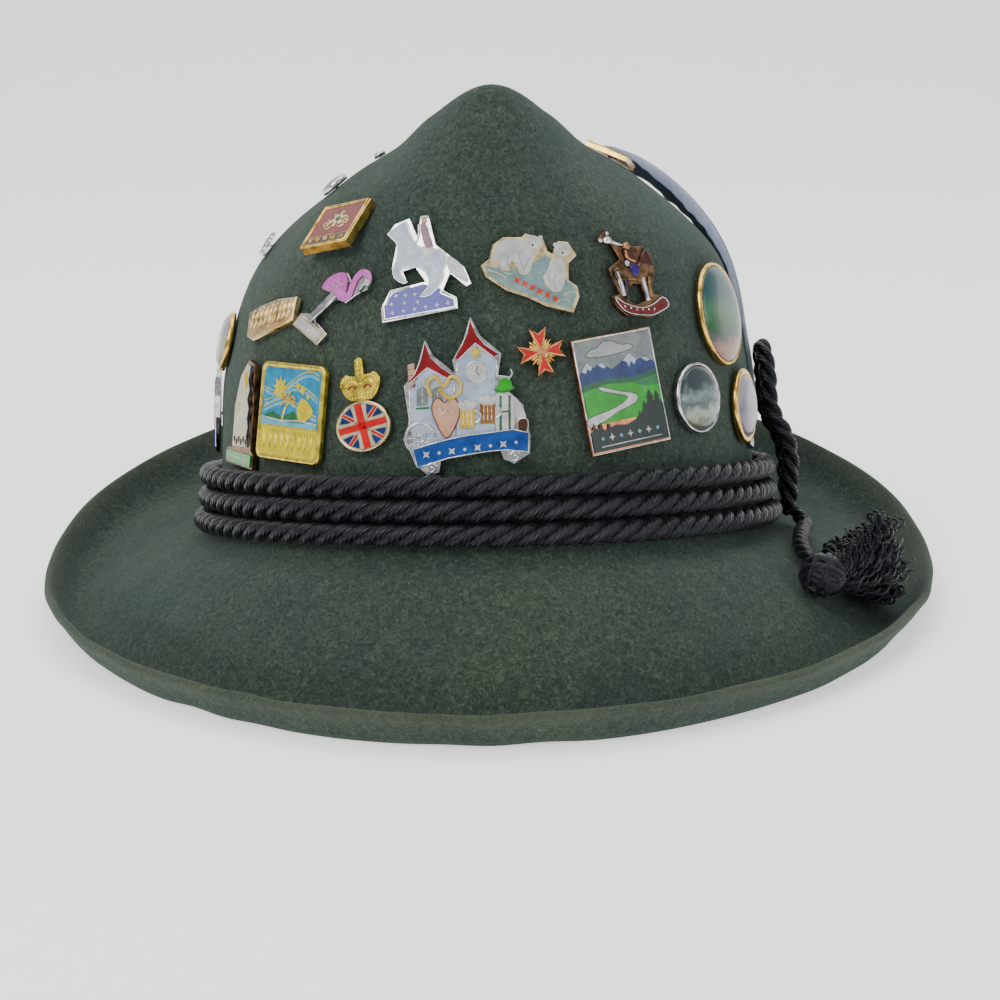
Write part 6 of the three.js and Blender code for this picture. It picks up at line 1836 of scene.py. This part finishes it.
def pin_bottle():
    pin = Pin("bottle")
    pin.plate(pin.share(BOTTLE), "bronze", high=1.5)
    pin.fill(pin.share([(-0.5, -0.6), (-0.4, 0.16), (-0.04, 0.68), (0.4, 0.9), (0.66, 0.86), (0.66, 0.2),
                        (0.56, -0.6)]), "cream", 1, 0.4, 0.12)
    pin.dot(0.32 * pin.hx, 0.6 * pin.hy, 1.7, "yellow", 6, 0.5, 1.6)
    edge = [(0.86, 0.88)]
    for k in range(9):
        edge.append(((0.62 if k % 2 else 0.74) + 0.02 * (k % 3), 0.78 - 0.17 * k))
    pin.wire(pin.share(edge), 1.1, "black", 6, high=0.5)
    for k in range(6):
        pin.dot((-0.34 + 0.17 * k) * pin.hx, (-0.46 - 0.05 * (k % 2)) * pin.hy, 0.7, "brown", 6, 0.3, 1.5)
    pin.fill(pin.share([(-0.9, -0.66), (0.94, -0.74), (0.9, -0.96), (-0.92, -0.87)]), "green", 2, 0.4, 0.1)
    pin.wire(pin.share([(-0.7, -0.76), (0.0, -0.8), (0.7, -0.85)]), 0.5, "white", 8, high=0.14)
    pin.done("white_enamel")


def pin_shield_side():
    pin = Pin("shield_side")
    outline = rounded(pin.share(SHIELD), 2)
    pin.plate(outline, "silver", high=1.5, bevel=0.2)
    share = pin.share
    pin.fill(share([(-0.8, 0.9), (0.8, 0.9), (0.88, 0.34), (-0.88, 0.34)]), "light_blue", 1, 0.3)
    pin.fill(share([(-0.9, 0.3), (0.9, 0.3), (0.9, -0.26), (-0.9, -0.26)]), "red", 1, 0.3)
    pin.fill(share([(-0.86, -0.3), (0.86, -0.3), (0.52, -0.76), (0, -0.9), (-0.52, -0.76)]), "royal", 1, 0.3)
    pin.wire(share([(-0.7, 0.62), (-0.2, 0.76), (0.2, 0.52), (0.7, 0.66)]), 0.9, "white", 5, high=0.2)
    pin.fill(star(0, 0.02, 3.0, 1.3, 5, math.pi / 2), "white", 5, 0.2)
    pin.done("blue_enamel")


def pin_chain():
    pin = Pin("chain")
    pin.plate([(-6, -2.9), (6, -2.9), (6, -2.0), (-6, -2.0)], "silver")
    for x in (-3.9, 0.0, 3.9):
        pin.wire(oval(x, 0.6, 1.5, 2.0, 20), 0.8, "silver", -4, True, 1.0)
        pin.dot(x, 0.6, 0.75, "light_grey", -2, 0.7)
        pin.wire([(x, -2.4), (x, -1.2)], 0.7, "silver", -4, high=0.8)
    for x in (-1.95, 1.95):
        pin.dot(x, -1.4, 0.8, "silver", -3, 1.0)
        pin.wire([(x, -2.4), (x, -1.4)], 0.6, "silver", -4, high=0.8)
    pin.wire([(-1.95, -1.4), (0, -1.7), (1.95, -1.4)], 0.6, "silver", -4, high=0.7)
    for side in (-1, 1):
        pin.wire([(side * 5.6, -2.3), (side * 5.4, -0.8)], 0.8, "silver", -4, high=0.8)
    pin.done("silver_metal")


def pin_square_top():
    pin = Pin("square_top")
    box = pin.share(BOX)
    pin.plate(box, "gold", bevel=0.2)
    pin.fill(inset(np.array(box), 0.8), "forest")
    pin.wire(inset(np.array(box), 0.4), 0.7, "gold", 1, True, 0.3)
    pin.fill(star(0, 0, 4.2, 1.7, 4, math.pi / 4), "white", 1, 0.2)
    pin.dot(0, 0, 1.3, "gold", 3)
    pin.done("green_enamel")


for draw in (
    pin_red_frame, pin_horse, pin_bears, pin_rider, pin_picture, pin_crown_flag, pin_towers, pin_cross,
    pin_landscape, pin_flamingo, pin_relief, pin_bottle, pin_shield_side, pin_chain, pin_square_top,
):
    draw()
for key, rim, picture, slot in (
    ("dome_green", "gold", "dome_green", "clear_dome"), ("dome_silver", "silver", "dome_silver",
                                                         "clear_dome"),
    ("dome_gold", "gold", "dome_gold", "clear_dome"), ("disc_side", "gold", "dome_white", "clear_dome"),
    ("disc_top", "silver", "dome_white", "silver_metal"),
):
    wide = 2.0 if key == "dome_gold" else 1.1
    rim_pin(key, rim, picture, wide, 2.4 if PINS[key][2] * PIN_SIZE > 12 else 1.2).done(slot)
for key in ("stud", "bead"):
    pin = Pin(key)
    pin.lathe([(-1.0, 0.0), (0.0, 0.0), (0.0, THICK * 0.5)], pin.hx, pin.hy, "silver", 20)
    pin.dome(pin.hx, pin.hy, THICK * 0.5, THICK * 0.5, "silver", 5, 20)
    pin.done("silver_metal")

def paint_clutches():
    for name, made in bpy.data.objects.items():
        if name.startswith("clutch_") and made.type == "MESH":
            made.data.materials.clear()
            made.data.materials.append(MATERIALS["clutch"])


paint_clutches()

# stage
def floor_material():
    material, tree, shader = new_material("floor_paper")
    place = tree.nodes.new("ShaderNodeNewGeometry").outputs["Position"]
    grain = node(tree, "ShaderNodeTexNoise", Scale=220.0, Detail=3.0)
    tree.links.new(place, grain.inputs["Vector"])
    base = ramp(tree, grain.outputs[0], [(0.3, (0.90, 0.90, 0.895)), (0.7, (0.915, 0.915, 0.91))])
    tree.links.new(base.outputs[0], shader.inputs["Base Color"])
    shader.inputs["Roughness"].default_value = 0.9
    shader.inputs["Emission Color"].default_value = (1.0, 1.0, 1.0, 1.0)
    shader.inputs["Emission Strength"].default_value = 0.75
    return material


def sweep_floor():
    """Floor that curves up into a backdrop behind the hat."""
    rows = []
    for i in range(60):
        s = i / 59 * 4.6
        if s < 2.6:
            y, z = -1.4 + s, 0.0
        elif s < 3.2:
            a = (s - 2.6) / 0.6 * math.pi / 2
            y, z = 1.2 + 0.9 * math.sin(a), 0.9 * (1 - math.cos(a))
        else:
            y, z = 2.1, 0.9 + (s - 3.2)
        rows.append((y, z))
    points = [(x, y, z) for y, z in rows for x in (-2.4, 0.0, 2.4)]
    mesh = bpy.data.meshes.new("floor")
    mesh.from_pydata(points, [], [tuple(reversed(f)) for f in grid_faces(60, 3, wrap=False)])
    mesh.polygons.foreach_set("use_smooth", [True] * len(mesh.polygons))
    mesh.materials.append(floor_material())
    made = bpy.data.objects.new("floor", mesh)
    bpy.context.scene.collection.objects.link(made)


def soft_light(name, place, target, size, power, colour=(1.0, 1.0, 1.0)):
    data = bpy.data.lights.new(name, "AREA")
    data.shape = "RECTANGLE"
    data.size, data.size_y = size
    data.energy = power
    data.color = colour
    lamp = bpy.data.objects.new(name, data)
    lamp.location = place
    lamp.rotation_euler = (Vector(target) - Vector(place)).to_track_quat("-Z", "Y").to_euler()
    bpy.context.scene.collection.objects.link(lamp)


sweep_floor()
soft_light("key_light", (-0.75, -0.95, 1.15), (0.0, 0.0, 0.06), (0.9, 0.9), 17.0, (1.0, 0.985, 0.96))
soft_light("fill_light", (1.1, -0.9, 0.7), (0.0, 0.0, 0.06), (0.9, 0.9), 6.0, (0.93, 0.97, 1.0))
soft_light("top_light", (0.0, 0.25, 1.3), (0.0, 0.0, 0.05), (1.4, 1.2), 12.0)


def make_world():
    world = bpy.data.worlds.new("studio")
    world.use_nodes = True
    world.node_tree.nodes["Background"].inputs[0].default_value = (0.92, 0.95, 1.0, 1.0)
    world.node_tree.nodes["Background"].inputs[1].default_value = 0.55
    bpy.context.scene.world = world


make_world()
